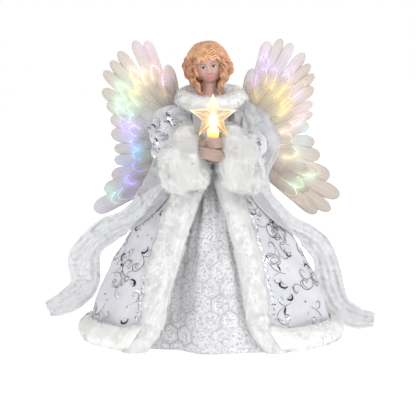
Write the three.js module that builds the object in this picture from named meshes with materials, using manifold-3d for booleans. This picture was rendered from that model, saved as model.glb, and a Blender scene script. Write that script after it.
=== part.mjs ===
// Angel tree topper with lit wings and a lamp under a clear star.
// Millimetres, +Z up, the figure faces -Y. Left is -X and right is +X, as seen from the front.
// The origin lies on the base plane, under the middle of the skirt.
import * as THREE from "three";
import { mergeVertices } from "three/addons/utils/BufferGeometryUtils.js";
import Module from "manifold-3d";

const wasm = await Module();
wasm.setup();

// Driving dimensions
const GAP = 0.4; // clearance between pieces that meet
const CLOTH = 1.2; // thickness of gown, coat, bodice and sleeves

const CONE_HEIGHT = 160;
const CONE_BASE_RADIUS = 60;
const CONE_TOP_RADIUS = 24;
const CONE_WALL = 2;
const FOOT_LIP = 5;
const FOOT_HEIGHT = 3;

const TREE_BORE_RADIUS = 13;
const TREE_SOCKET_WALL = 1.8;
const TREE_SOCKET_LENGTH = 56;
const TREE_SOCKET_DROP = 28; // flange that seats in the cone, below the cone's top
const LEAD_NOTCH_RADIUS = 4;

const PLATE_THICKNESS = 3;
const PLATE_SPIGOT = 4;
const BOARD_POST_RADIUS = 2;
const BOARD_POST_HEIGHT = 4.5;
const BOARD_WIDTH = 26;
const BOARD_DEPTH = 15;
const BOARD_THICKNESS = 1.6;
const LIGHT_RADIUS = 2.5;
const LIGHT_HEIGHT = 8.6;
const LIGHT_SPACING = 16;
const FERRULE_LENGTH = 11;
const FERRULE_WALL = 1.3;
const BUNDLE_RADIUS = 2.4;
const INLET_RADIUS = 4.5;
const INLET_LENGTH = 15;
const INLET_BORE_RADIUS = 2.75;
const INLET_BORE_DEPTH = 9;
const LEAD_RADIUS = 1;

const TORSO_HEIGHT = 68;
const TORSO_HALF_WIDTH = 21.5;
const TORSO_HALF_DEPTH = 16.8;
const TORSO_WALL = 2;
const NECK_POST_RADIUS = 5;
const NECK_POST_HEIGHT = 14;
const ARM_HEIGHT = 54; // arm wire above the torso's foot
const ARM_WIRE_RADIUS = 1.4;
const SCREW_RADIUS = 1.2;
const SCREW_HEAD_RADIUS = 2.6;
const SCREW_HEAD_HEIGHT = 1.4;
const BOSS_RADIUS = 3;
const LOWER_SCREW_HEIGHT = 36; // above the torso's foot
const SCREW_SPACING = 20;

const HEAD_HALF_WIDTH = 14.6;
const HEAD_HALF_DEPTH = 16.6;
const HEAD_HALF_HEIGHT = 20;
const HEAD_RISE = 50; // head centre above the torso's top
const HEAD_ROLL = 10; // degrees, crown towards the left
const HEAD_BOW = 5; // degrees, face downwards
const NECK_RADIUS = 6.8;
const BUST_RADIUS = 15;
const HAIR_HALF_WIDTH = 22.5;
const HAIR_HALF_DEPTH = 21;
const HAIR_RISE = 23.2; // crown of the hair above the head centre
const RINGLET_RADIUS = 5.4;
const HAIR_EASE = 1.2;

const COLLAR_HALF_WIDTH = 26.5;
const COLLAR_HALF_DEPTH = 25;
const COLLAR_RADIUS = 10.8;
const COLLAR_RISE = 13.7; // collar's middle above the torso's top
const COLLAR_TILT = 5; // rise from the middle to the back

const WAIST_RISE = 12.2; // waist seam above the torso's foot
const WAIST_HALF_WIDTH = 28;
const WAIST_HALF_DEPTH = 23.5;
const BODICE_HEIGHT = 55;
const COAT_HEM_HALF_WIDTH = 122;
const COAT_HEM_FRONT = 90;
const COAT_HEM_BACK = 81;
const COAT_HEM_HEIGHT = 2;
const COAT_FLARE = 1.8;
const COAT_FOLDS = 9;
const COAT_FOLD_DEPTH = 0.028;
const GOWN_HEM_HALF_WIDTH = 98;
const GOWN_HEM_FRONT = 84;
const GOWN_HEM_BACK = 70;
const GOWN_HEM_HEIGHT = 0.6;
const GOWN_FLARE = 1.6;
const GOWN_FOLDS = 9;
const GOWN_FOLD_DEPTH = 0.035;
const GOWN_EASE = 2.4; // gown inside the coat at the waist

const LEFT_FRONT_ANGLE = 29; // degrees from straight ahead to the coat's left edge
const RIGHT_FRONT_ANGLE = 23;
const FRONT_KICK = 9; // degrees more at the hem
const FRONT_KICK_HEIGHT = 40;
const FUR_WIDTH = 27;
const FUR_THICKNESS = 11;
const FUR_EDGE = 2.5;
const FUR_END = 10; // front furs end below the waist seam
const HEM_FUR_HEIGHT = 27;
const HEM_FUR_LIFT = 0.5;
const HEM_FUR_SEAT = 0.6;

const LAMP_X = 2;
const LAMP_Y = -70;
const LAMP_DROP = 32.8; // lamp socket's foot below the shoulders' arm wires
const LAMP_SOCKET_LENGTH = 23;
const LAMP_SOCKET_RADIUS = 5.8;
const LAMP_PIN_RADIUS = 3.4;
const LAMP_PIN_LENGTH = 9;
const BULB_BASE_RADIUS = 5.6;
const BULB_BASE_HEIGHT = 10;
const BULB_RADIUS = 4.2;
const BULB_HEIGHT = 17;
const STAR_RADIUS = 22.3;
const STAR_INNER_RADIUS = 9.8;
const STAR_WIDEN = 1.08;
const STAR_HALF_THICKNESS = 8;
const STAR_EDGE = 0.9;
const STAR_RISE = 11; // star centre above the bulb base

const FINGER_RADIUS = 1.55;
const FINGER_EASE = 0.7; // fingers off the lamp socket
const FINGER_PITCH = 2.9;
const FINGERS = 4;
const PALM_THICKNESS = 5.5;
const WRIST_RADIUS = 4.6;
const HAND_STAGGER = 6.2; // each hand's height above or below the middle of the pair
const WRIST_OUT = 13.5; // wrist to the side of the lamp
const WRIST_BACK = 4;
const WRIST_LENGTH = 10;
const WRIST_BORE_LENGTH = 2;
const FOREARM_OUT = 31;
const FOREARM_BACK = 15;
const HANDS_RISE = 12.5; // middle of the pair above the lamp socket's foot

const SLEEVE_SHOULDER_RADIUS = 12.5;
const SLEEVE_ELBOW_RADIUS = 15.6;
const SLEEVE_MOUTH_RADIUS = 15;
const SLEEVE_FOLD_DEPTH = 0.06;
const SHOULDER_OUT = 5; // sleeve's line outwards from the torso
const UPPER_ARM_OUT = 21;
const ELBOW_OUT = 24;
const ELBOW_FORWARD = 14;
const ELBOW_DROP = 13;
const FOREARM_IN = 23; // sleeve's last bend behind the cuff
const MOUTH_IN = 11;
const CUFF_HALF_WIDTH = 21;
const CUFF_HALF_HEIGHT = 33.5;
const CUFF_HALF_DEPTH = 16;
const CUFF_X = 29.5;
const CUFF_Y = -57;
const CUFF_DROP = 9; // cuff's middle below the middle of the hands

const BRACKET_HALF_WIDTH = 12;
const BRACKET_HEIGHT = 38;
const BRACKET_THICKNESS = 2.5;
const HINGE_X = 16;
const HINGE_REACH = 5; // hinge axis behind the bracket plate
const HINGE_KNUCKLE_RADIUS = 4;
const HINGE_EAR_HEIGHT = 7;
const HINGE_PIN_RADIUS = 1.6;
const HINGE_PIN_HEAD = 1.5;
const WING_SWEEP = 9; // degrees, tips towards the back

const SPINE_X = 24; // feather roots outwards from the hinge axis
const SPINE_TOP = 21; // above the middle of the hinge
const SPINE_BOTTOM = -38;
const SPINE_WIDTH = 12;
const SPINE_THICKNESS = 2.4;
const FEATHER_SHEET = 1;
const FEATHER_FILL = 0.84; // tip width as a share of the spacing
const FEATHER_NOTCH = 15;
const FAN_START = 4; // degrees from upright
const FAN_SPREAD = 124;
const FAN_EASE = 0.82;
const LEFT_FAN_LIFT = -3;
const RIGHT_FAN_LIFT = 3;
const LONG_FEATHERS = 17;
const MIDDLE_FEATHERS = 13;
const SHORT_FEATHERS = 9;
const MIDDLE_SHARE = 0.7; // of the long feathers' length
const SHORT_SHARE = 0.42;
const FEATHER_LENGTHS = [50, 88, 93.5, 89, 72, 63, 68, 95, 84]; // from the top feather to the lowest
const STRAND_WIDTH = 0.9;
const STRAND_ROOT_RADIUS = 8;

const STOLE_SHEET = 1;
const STOLE_ARM_HEIGHT = 217.8; // arm height that the stole's places are laid out for
const TAIL_REACH = 168;

// Heights that follow from the stack
const treeSocketTop = CONE_HEIGHT - TREE_SOCKET_DROP;
const plateBottom = CONE_HEIGHT + GAP;
const plateTop = plateBottom + PLATE_THICKNESS;
const torsoFoot = plateTop + GAP;
const torsoTop = torsoFoot + TORSO_HEIGHT;
const boardBottom = plateTop + BOARD_POST_HEIGHT + GAP;
const boardTop = boardBottom + BOARD_THICKNESS;
const headCentre = torsoTop + HEAD_RISE;
const armHeight = torsoFoot + ARM_HEIGHT;
const collarHeight = torsoTop + COLLAR_RISE;
const waistHeight = torsoFoot + WAIST_RISE;
const furTop = waistHeight - FUR_END;
const lampSocketBottom = armHeight - LAMP_DROP;
const lampSocketTop = lampSocketBottom + LAMP_SOCKET_LENGTH;
const bulbBaseBottom = lampSocketTop + GAP;
const bulbBaseTop = bulbBaseBottom + BULB_BASE_HEIGHT;
const starCentre = bulbBaseTop + STAR_RISE;
const handsMiddle = lampSocketBottom + HANDS_RISE;
const cuffHeight = handsMiddle - CUFF_DROP;
const bodiceBottom = waistHeight + GAP;
const bodiceDepth = TORSO_HALF_DEPTH + 2 * GAP + CLOTH;
const bracketFront = bodiceDepth + GAP;
const bracketBack = bracketFront + BRACKET_THICKNESS;
const hingeY = bracketBack + HINGE_REACH;
const lowerScrew = torsoFoot + LOWER_SCREW_HEIGHT;
const hingeMiddle = lowerScrew + SCREW_SPACING / 2;
const screwHeights = [lowerScrew, lowerScrew + SCREW_SPACING];

const radians = THREE.MathUtils.degToRad;
const vec = (x, y, z) => new THREE.Vector3(x, y, z);

// Geometry helpers

// Bare indexed geometry with shared points merged and collapsed triangles dropped.
function clean(geometry) {
  const bare = new THREE.BufferGeometry();
  bare.setAttribute("position", geometry.getAttribute("position").clone());
  if (geometry.index) bare.setIndex(geometry.index.clone());
  const merged = mergeVertices(bare, 1e-4);
  const kept = [];
  const index = merged.index.array;
  for (let i = 0; i < index.length; i += 3) {
    const [a, b, c] = [index[i], index[i + 1], index[i + 2]];
    if (a !== b && b !== c && c !== a) kept.push(a, b, c);
  }
  merged.setIndex(kept);
  return merged;
}

// Signed volume, used to turn a closed geometry's faces outwards.
function volumeOf(geometry) {
  const place = geometry.getAttribute("position");
  const index = geometry.index.array;
  const [a, b, c] = [vec(), vec(), vec()];
  let sum = 0;
  for (let i = 0; i < index.length; i += 3) {
    a.fromBufferAttribute(place, index[i]);
    b.fromBufferAttribute(place, index[i + 1]);
    c.fromBufferAttribute(place, index[i + 2]);
    sum += a.dot(b.cross(c)) / 6;
  }
  return sum;
}

function facingOut(geometry) {
  const made = clean(geometry);
  if (volumeOf(made) < 0) made.setIndex(Array.from(made.index.array).reverse());
  return made;
}

function solidOf(geometry) {
  const made = facingOut(geometry);
  const vertProperties = new Float32Array(made.getAttribute("position").array);
  const triVerts = new Uint32Array(made.index.array);
  return new wasm.Manifold(new wasm.Mesh({ numProp: 3, vertProperties, triVerts }));
}

function geometryOf(solid) {
  const mesh = solid.getMesh();
  const points = [];
  for (let i = 0; i < mesh.numVert; i += 1) {
    const at = i * mesh.numProp;
    points.push(mesh.vertProperties[at], mesh.vertProperties[at + 1], mesh.vertProperties[at + 2]);
  }
  const made = new THREE.BufferGeometry();
  made.setAttribute("position", new THREE.Float32BufferAttribute(points, 3));
  made.setIndex(Array.from(mesh.triVerts));
  return made;
}

const join = (...pieces) => geometryOf(pieces.map(solidOf).reduce((a, b) => a.add(b)));
const less = (a, b) => a.subtract(b);
const cut = (piece, ...tools) => geometryOf(tools.map(solidOf).reduce(less, solidOf(piece)));
const common = (piece, tool) => geometryOf(solidOf(piece).intersect(solidOf(tool)));

// The largest separate body of a geometry, without crumbs left by a cut.
function mainBody(geometry) {
  const bodies = solidOf(geometry).decompose();
  return geometryOf(bodies.reduce((a, b) => (b.volume() > a.volume() ? b : a)));
}

function block(width, depth, height, x, y, z) {
  return new THREE.BoxGeometry(width, depth, height).translate(x, y, z);
}

// Cylinder on a vertical axis from one height to another.
function post(radius, from, to, x = 0, y = 0, sides = 16) {
  return new THREE.CylinderGeometry(radius, radius, to - from, sides)
    .rotateX(Math.PI / 2)
    .translate(x, y, (from + to) / 2);
}

// Cylinder between two points.
function rod(radius, from, to, sides = 8) {
  const along = to.clone().sub(from);
  const made = new THREE.CylinderGeometry(radius, radius, along.length(), sides);
  const turn = new THREE.Quaternion().setFromUnitVectors(vec(0, 1, 0), along.normalize());
  return made.applyQuaternion(turn).translate((from.x + to.x) / 2, (from.y + to.y) / 2, (from.z + to.z) / 2);
}

// Solid turned about the vertical axis from a closed list of [radius, height].
function turned(profile, sides = 32) {
  const points = profile.map(([r, z]) => new THREE.Vector2(r, z));
  points.push(points[0].clone());
  return facingOut(new THREE.LatheGeometry(points, sides).rotateX(Math.PI / 2));
}

function ellipsoid(rx, ry, rz, across = 20, along = 14) {
  return clean(new THREE.SphereGeometry(1, across, along).rotateX(Math.PI / 2).scale(rx, ry, rz));
}

// Round wire along a curve.
function wire(points, radius, steps, sides = 6) {
  const ring = new THREE.Shape();
  ring.absarc(0, 0, radius, 0, Math.PI * 2);
  const extrudePath = new THREE.CatmullRomCurve3(points);
  return facingOut(new THREE.ExtrudeGeometry(ring, { steps, curveSegments: sides / 2, extrudePath }));
}

// Closed slab between two faces, each given as a point for u and v from 0 to 1.
// A round slab closes on itself along u.
function slab(inner, outer, across, along, round = false) {
  const places = [];
  const index = [];
  const columns = round ? across : across + 1;
  for (const face of [inner, outer]) {
    for (let j = 0; j <= along; j += 1) {
      for (let i = 0; i < columns; i += 1) places.push(...face(i / across, j / along).toArray());
    }
  }
  const at = (layer, i, j) => layer * columns * (along + 1) + j * columns + (i % columns);
  const quad = (a, b, c, d) => index.push(a, b, c, a, c, d);
  for (let j = 0; j < along; j += 1) {
    for (let i = 0; i < across; i += 1) {
      quad(at(1, i, j), at(1, i + 1, j), at(1, i + 1, j + 1), at(1, i, j + 1));
      quad(at(0, i, j), at(0, i, j + 1), at(0, i + 1, j + 1), at(0, i + 1, j));
    }
  }
  for (let i = 0; i < across; i += 1) {
    quad(at(0, i, 0), at(0, i + 1, 0), at(1, i + 1, 0), at(1, i, 0));
    quad(at(0, i + 1, along), at(0, i, along), at(1, i, along), at(1, i + 1, along));
  }
  if (!round) {
    for (let j = 0; j < along; j += 1) {
      quad(at(0, 0, j + 1), at(0, 0, j), at(1, 0, j), at(1, 0, j + 1));
      quad(at(0, across, j), at(0, across, j + 1), at(1, across, j + 1), at(1, across, j));
    }
  }
  const made = new THREE.BufferGeometry();
  made.setAttribute("position", new THREE.Float32BufferAttribute(places, 3));
  made.setIndex(index);
  return facingOut(made);
}

// Sheet of even thickness behind a surface, measured along the surface's own direction.
function sheet(surface, thickness, across, along, round = false) {
  const step = 1e-3;
  const behind = (u, v) => {
    const here = surface(u, v);
    const [u0, u1] = round ? [u - step, u + step] : [Math.max(0, u - step), Math.min(1, u + step)];
    const [v0, v1] = [Math.max(0, v - step), Math.min(1, v + step)];
    const du = surface(u1, v).sub(surface(u0, v));
    const dv = surface(u, v1).sub(surface(u, v0));
    return here.addScaledVector(du.cross(dv).normalize(), -thickness);
  };
  return slab(behind, surface, across, along, round);
}

// Closed solid through rings of points, with a fan over each end.
function loft(rings) {
  const places = [];
  const index = [];
  const count = rings[0].length;
  rings.forEach((ring) => ring.forEach((point) => places.push(...point.toArray())));
  for (let j = 0; j + 1 < rings.length; j += 1) {
    for (let i = 0; i < count; i += 1) {
      const [a, b] = [j * count + i, j * count + ((i + 1) % count)];
      index.push(a, b, b + count, a, b + count, a + count);
    }
  }
  [0, rings.length - 1].forEach((j) => {
    const middle = rings[j].reduce((sum, point) => sum.add(point), vec()).divideScalar(count);
    const hub = places.length / 3;
    places.push(...middle.toArray());
    for (let i = 0; i < count; i += 1) {
      const [a, b] = [j * count + i, j * count + ((i + 1) % count)];
      if (j === 0) index.push(b, a, hub);
      else index.push(a, b, hub);
    }
  });
  const made = new THREE.BufferGeometry();
  made.setAttribute("position", new THREE.Float32BufferAttribute(places, 3));
  made.setIndex(index);
  return facingOut(made);
}

// Level ellipse at a height.
function ellipse(rx, ry, z, sides, x = 0, y = 0) {
  return Array.from({ length: sides }, (_, i) => {
    const turn = (i / sides) * Math.PI * 2;
    return vec(x + rx * Math.cos(turn), y + ry * Math.sin(turn), z);
  });
}

// Flat outline as a plate: x outwards, y of the outline upwards, thickness towards the back.
function plate(shape, thickness, front, side) {
  const made = new THREE.ExtrudeGeometry(shape, { depth: thickness, bevelEnabled: false, curveSegments: 6 });
  made.rotateX(Math.PI / 2).translate(0, front + thickness, 0);
  return facingOut(made.scale(side, 1, 1));
}

// Support

const coneRadius = (z) => CONE_BASE_RADIUS + ((CONE_TOP_RADIUS - CONE_BASE_RADIUS) * z) / CONE_HEIGHT;

function supportCone() {
  return turned([
    [CONE_BASE_RADIUS - CONE_WALL, 0],
    [CONE_BASE_RADIUS + FOOT_LIP, 0],
    [CONE_BASE_RADIUS + FOOT_LIP, FOOT_HEIGHT],
    [coneRadius(FOOT_HEIGHT), FOOT_HEIGHT],
    [CONE_TOP_RADIUS, CONE_HEIGHT],
    [CONE_TOP_RADIUS - CONE_WALL, CONE_HEIGHT],
  ]);
}

function treeSocket() {
  const bottom = treeSocketTop - TREE_SOCKET_LENGTH;
  const outer = TREE_BORE_RADIUS + TREE_SOCKET_WALL;
  const flange = coneRadius(treeSocketTop) - CONE_WALL - GAP;
  const body = turned([
    [0, treeSocketTop - TREE_SOCKET_WALL],
    [TREE_BORE_RADIUS, treeSocketTop - TREE_SOCKET_WALL],
    [TREE_BORE_RADIUS, bottom],
    [outer, bottom],
    [outer, treeSocketTop - 2 * TREE_SOCKET_WALL],
    [flange, treeSocketTop - 2 * TREE_SOCKET_WALL],
    [flange, treeSocketTop],
    [0, treeSocketTop],
  ], 24);
  const notchY = (outer + flange) / 2 + LEAD_NOTCH_RADIUS / 2;
  return cut(body, post(LEAD_NOTCH_RADIUS, bottom, treeSocketTop + 1, 0, notchY));
}

function floorPlate() {
  const spigot = coneRadius(CONE_HEIGHT) - CONE_WALL - GAP;
  const body = turned([
    [0, plateBottom - PLATE_SPIGOT],
    [spigot, plateBottom - PLATE_SPIGOT],
    [spigot, plateBottom],
    [CONE_TOP_RADIUS, plateBottom],
    [CONE_TOP_RADIUS, plateTop],
    [0, plateTop],
  ], 24);
  const postX = BOARD_WIDTH / 2 - BOARD_POST_RADIUS;
  const postTop = boardBottom - GAP;
  const posts = [-postX, postX].map((x) => post(BOARD_POST_RADIUS, plateBottom, postTop, x, 0, 12));
  const bored = cut(body, post(INLET_RADIUS + GAP, plateBottom - PLATE_SPIGOT - 1, plateTop + 1));
  return join(bored, ...posts);
}

function torsoSolid(grow) {
  const levels = [
    [0, 1, 1],
    [0.35, 1.02, 1],
    [0.6, 1.02, 1],
    [0.82, 0.94, 0.94],
    [0.94, 0.66, 0.68],
    [1, 0.4, 0.5],
  ];
  return loft(levels.map(([share, wide, deep], level) => {
    const lift = level === levels.length - 1 ? grow : 0;
    const z = torsoFoot + share * TORSO_HEIGHT + lift;
    return ellipse(TORSO_HALF_WIDTH * wide + grow, TORSO_HALF_DEPTH * deep + grow, z, 16);
  }));
}

const ferruleBottom = boardTop + 2 * GAP + 1;
const bundleStart = ferruleBottom + FERRULE_LENGTH - 2;
const bundleExit = (side) => vec(side * 10, TORSO_HALF_DEPTH * 0.86, hingeMiddle - BRACKET_HEIGHT / 2 - 4);
const bundleEnd = (side) => vec(side * (HINGE_X + 2), hingeY, hingeMiddle - BRACKET_HEIGHT / 2 - 6);
const leadHole = () => vec(0, -TORSO_HALF_DEPTH, boardTop + 9);

function bundlePoints(side) {
  const x = side * (LIGHT_SPACING / 2);
  const exit = bundleExit(side);
  return [
    vec(x, 0, bundleStart),
    vec(x, 0, bundleStart + 3.5),
    vec((x + exit.x) / 2, exit.y * 0.45, exit.z - 0.8),
    exit,
    vec(exit.x + side * 2.5, bracketFront, exit.z - 1),
    bundleEnd(side),
  ];
}

function torsoShells() {
  const hollow = common(torsoSolid(-TORSO_WALL), block(200, 200, 200, 0, 0, torsoFoot + 100 - 1));
  const drain = loft([torsoFoot - 1, torsoFoot + 4].map((z) => {
    return ellipse(TORSO_HALF_WIDTH - TORSO_WALL, TORSO_HALF_DEPTH - TORSO_WALL, z, 16);
  }));
  const neck = post(NECK_POST_RADIUS, torsoTop - 3, torsoTop + NECK_POST_HEIGHT, 0, 0, 20);
  const wall = cut(torsoSolid(0), hollow, drain);
  const bosses = screwHeights.map((z) => {
    return rod(BOSS_RADIUS, vec(0, -TORSO_HALF_DEPTH + 0.8, z), vec(0, TORSO_HALF_DEPTH - 0.8, z));
  });
  const bores = screwHeights.map((z) => {
    return rod(SCREW_RADIUS + GAP, vec(0, -TORSO_HALF_DEPTH * 0.55, z), vec(0, 60, z));
  });
  const armBore = rod(ARM_WIRE_RADIUS + GAP, vec(-60, 0, armHeight), vec(60, 0, armHeight));
  const leads = [-1, 1].map((side) => wire(bundlePoints(side), BUNDLE_RADIUS + GAP, 12));
  const leadOut = wire(lampLeadPoints(), LEAD_RADIUS + GAP, 14);
  const whole = cut(join(wall, neck, ...bosses), ...bores, armBore, ...leads, leadOut);
  const halfGap = GAP / 2;
  const front = common(whole, block(200, 200, 400, 0, -100 - halfGap, 200));
  const back = common(whole, block(200, 200, 400, 0, 100 + halfGap, 200));
  return { front: mainBody(front), back: mainBody(back) };
}

// Light unit

function lampBoard() {
  return block(BOARD_WIDTH, BOARD_DEPTH, BOARD_THICKNESS, 0, 0, (boardBottom + boardTop) / 2);
}

function light() {
  const shoulder = LIGHT_HEIGHT - LIGHT_RADIUS;
  const dome = [0, 30, 60].map((turn) => {
    return [LIGHT_RADIUS * Math.cos(radians(turn)), shoulder + LIGHT_RADIUS * Math.sin(radians(turn))];
  });
  const flange = LIGHT_RADIUS + 0.4;
  return turned([[0, 0], [flange, 0], [flange, 1], [LIGHT_RADIUS, 1], ...dome, [0, LIGHT_HEIGHT]], 12);
}

function ferrule() {
  const bore = LIGHT_RADIUS + GAP;
  const outer = bore + FERRULE_WALL;
  return turned([[bore, 0], [outer, 0], [outer, FERRULE_LENGTH], [bore, FERRULE_LENGTH]], 12);
}

function powerInlet() {
  const top = boardBottom - GAP;
  const bottom = top - INLET_LENGTH;
  return turned([
    [0, bottom + INLET_BORE_DEPTH],
    [INLET_BORE_RADIUS, bottom + INLET_BORE_DEPTH],
    [INLET_BORE_RADIUS, bottom],
    [INLET_RADIUS, bottom],
    [INLET_RADIUS, top],
    [0, top],
  ], 16);
}

function lampLeadPoints() {
  const start = BOARD_DEPTH / 2 - LEAD_RADIUS - 0.5;
  return [
    vec(0, -start, boardTop + LEAD_RADIUS + GAP),
    vec(0, -start - 3, boardTop + 6),
    leadHole(),
    vec(0, -TORSO_HALF_DEPTH - 14, leadHole().z - 0.5),
    vec(LAMP_X, LAMP_Y + 10, lampSocketBottom - 6),
    vec(LAMP_X, LAMP_Y, lampSocketBottom - 4.5),
    vec(LAMP_X, LAMP_Y, lampSocketBottom + 4),
  ];
}

// Lamp and star

function lampSocket() {
  const bore = LAMP_PIN_RADIUS + GAP;
  const floor = LAMP_SOCKET_LENGTH - LAMP_PIN_LENGTH - 1;
  const body = turned([
    [0, 0],
    [LAMP_SOCKET_RADIUS, 0],
    [LAMP_SOCKET_RADIUS, LAMP_SOCKET_LENGTH],
    [bore, LAMP_SOCKET_LENGTH],
    [bore, floor],
    [0, floor],
  ], 20).translate(LAMP_X, LAMP_Y, lampSocketBottom);
  return cut(body, wire(lampLeadPoints(), LEAD_RADIUS + GAP, 14));
}

function bulbBase() {
  return turned([
    [0, -LAMP_PIN_LENGTH],
    [LAMP_PIN_RADIUS, -LAMP_PIN_LENGTH],
    [LAMP_PIN_RADIUS, 0],
    [BULB_BASE_RADIUS, 0],
    [BULB_BASE_RADIUS, BULB_BASE_HEIGHT - 1.5],
    [BULB_BASE_RADIUS - 1, BULB_BASE_HEIGHT],
    [0, BULB_BASE_HEIGHT],
  ], 16);
}

// Flame outline; a cavity stays full below the widest place, so that it lifts off the bulb.
function bulbProfile(grow, cavity = false) {
  const rise = [0, 0.12, 0.3, 0.5, 0.7, 0.86, 0.96];
  const foot = cavity ? [1, 1] : [0.72, 0.9];
  const wide = [...foot, 1, 0.93, 0.7, 0.42, 0.2];
  const flame = rise.map((share, i) => [BULB_RADIUS * wide[i] + grow, share * BULB_HEIGHT]);
  return [[0, 0], ...flame, [0, BULB_HEIGHT + grow]];
}

function star() {
  const rim = [];
  for (let i = 0; i < 10; i += 1) {
    const reach = i % 2 === 0 ? STAR_RADIUS : STAR_INNER_RADIUS;
    const turn = Math.PI / 2 + (i * Math.PI) / 5;
    rim.push([reach * STAR_WIDEN * Math.cos(turn), reach * Math.sin(turn)]);
  }
  const places = [0, -STAR_HALF_THICKNESS, 0, 0, STAR_HALF_THICKNESS, 0];
  const index = [];
  rim.forEach(([x, z]) => places.push(x, -STAR_EDGE, z, x, STAR_EDGE, z));
  for (let i = 0; i < 10; i += 1) {
    const a = 2 + 2 * i;
    const b = 2 + 2 * ((i + 1) % 10);
    index.push(0, a, b, 1, b + 1, a + 1, a, a + 1, b + 1, a, b + 1, b);
  }
  const made = new THREE.BufferGeometry();
  made.setAttribute("position", new THREE.Float32BufferAttribute(places, 3));
  made.setIndex(index);
  const bulb = turned(bulbProfile(GAP, true), 16).translate(0, 0, bulbBaseTop + GAP - starCentre);
  const base = post(BULB_BASE_RADIUS + GAP, -STAR_RADIUS * 2, bulbBaseTop + GAP - starCentre, 0, 0, 16);
  return mainBody(cut(made, bulb, base));
}

// Head and hair

// Turns a piece made about the head's centre into the head's pose.
function posed(geometry) {
  geometry.rotateX(radians(HEAD_BOW)).rotateY(radians(-HEAD_ROLL));
  return geometry.translate(-1, -2, headCentre);
}

function neckSolid(grow) {
  const bottom = torsoTop + GAP;
  return turned([
    [0, bottom - grow],
    [BUST_RADIUS + grow, bottom - grow],
    [BUST_RADIUS * 0.85 + grow, bottom + 4],
    [NECK_RADIUS * 1.25 + grow, bottom + 10],
    [NECK_RADIUS + grow, bottom + 17],
    [NECK_RADIUS + grow, headCentre - HEAD_HALF_HEIGHT * 0.4],
    [0, headCentre - HEAD_HALF_HEIGHT * 0.4],
  ], 20);
}

function headForm(grow) {
  return ellipsoid(HEAD_HALF_WIDTH + grow, HEAD_HALF_DEPTH + grow, HEAD_HALF_HEIGHT + grow, 16, 10);
}

function head() {
  const nose = ellipsoid(1.6, 2.4, 2.2, 6, 4).translate(0, -HEAD_HALF_DEPTH + 0.2, -6);
  const skull = posed(join(headForm(0), nose));
  const bore = post(NECK_POST_RADIUS + GAP, torsoTop - 5, torsoTop + NECK_POST_HEIGHT + GAP, 0, 0, 20);
  return cut(join(skull, neckSolid(0)), bore);
}

// Ringlets as [x, y, z, size] about the head's centre.
const RINGLETS = [
  [-20, -4, 1, 1.15],
  [-21, -5, -9, 1.1],
  [-18, -6, -18, 1.05],
  [-13, -7, -26, 0.95],
  [19, -4, 0, 1.1],
  [20, -5, -9, 1.1],
  [17.5, -6, -18, 1],
  [14.5, -7, -27, 0.95],
  [-12, 13, -19, 1.3],
  [0, 15, -21, 1.35],
  [12, 13, -19, 1.3],
];

function hairSolid(grow) {
  const cap = ellipsoid(HAIR_HALF_WIDTH + grow, HAIR_HALF_DEPTH + grow, HAIR_RISE + grow, 18, 10);
  const curls = RINGLETS.map(([x, y, z, size]) => {
    const reach = RINGLET_RADIUS * size + grow;
    return ellipsoid(reach, reach, reach * 1.2, 6, 4).translate(x, y, z);
  });
  return join(cap, ...curls);
}

function hair() {
  const window = ellipsoid(HEAD_HALF_WIDTH * 0.92, 14, 19, 12, 8);
  window.translate(0, -HAIR_HALF_DEPTH - 3, -13);
  const underside = block(22, 60, 40, 0, -8, -34);
  const [wide, deep, high] = [HEAD_HALF_WIDTH, HEAD_HALF_DEPTH, HEAD_HALF_HEIGHT];
  const seat = ellipsoid(wide + HAIR_EASE, deep + HAIR_EASE, high + HAIR_EASE, 12, 8);
  const made = posed(cut(hairSolid(0), seat, window, underside));
  return mainBody(cut(made, neckSolid(GAP)));
}

// Fur

function collarSolid(grow) {
  const rings = [];
  const turns = 20;
  for (let j = 0; j < turns; j += 1) {
    const turn = (j / turns) * Math.PI * 2;
    const out = vec(Math.cos(turn), Math.sin(turn), 0);
    const middle = vec(COLLAR_HALF_WIDTH * out.x, COLLAR_HALF_DEPTH * out.y, 0);
    middle.z = collarHeight + COLLAR_TILT * out.y;
    rings.push(Array.from({ length: 8 }, (_, i) => {
      const roll = (i / 8) * Math.PI * 2;
      const reach = COLLAR_RADIUS + grow;
      const point = middle.clone().addScaledVector(out, reach * Math.cos(roll));
      return point.add(vec(0, 0, reach * Math.sin(roll)));
    }));
  }
  const places = rings.flat().flatMap((point) => point.toArray());
  const index = [];
  for (let j = 0; j < turns; j += 1) {
    for (let i = 0; i < 8; i += 1) {
      const [a, b] = [j * 8 + i, j * 8 + ((i + 1) % 8)];
      const next = ((j + 1) % turns) * 8 - j * 8;
      index.push(a, b, b + next, a, b + next, a + next);
    }
  }
  const made = new THREE.BufferGeometry();
  made.setAttribute("position", new THREE.Float32BufferAttribute(places, 3));
  made.setIndex(index);
  return facingOut(made);
}

function cuffSolid(side, grow) {
  const levels = [-0.98, -0.78, -0.4, 0, 0.4, 0.78, 0.98];
  return loft(levels.map((share) => {
    const wide = Math.sqrt(1 - share * share);
    const droop = 1 + 0.1 * Math.max(0, -share);
    const rx = CUFF_HALF_WIDTH * Math.pow(wide, 0.8) * droop + grow;
    const ry = CUFF_HALF_DEPTH * Math.pow(wide, 0.8) * droop + grow;
    const z = cuffHeight + (CUFF_HALF_HEIGHT + grow) * share;
    return ellipse(rx, ry, z, 14, side * CUFF_X, CUFF_Y);
  }));
}

// Garments

const bellShare = (z, top, flare) => Math.pow(Math.min(1, Math.max(0, z / top)), flare);

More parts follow.
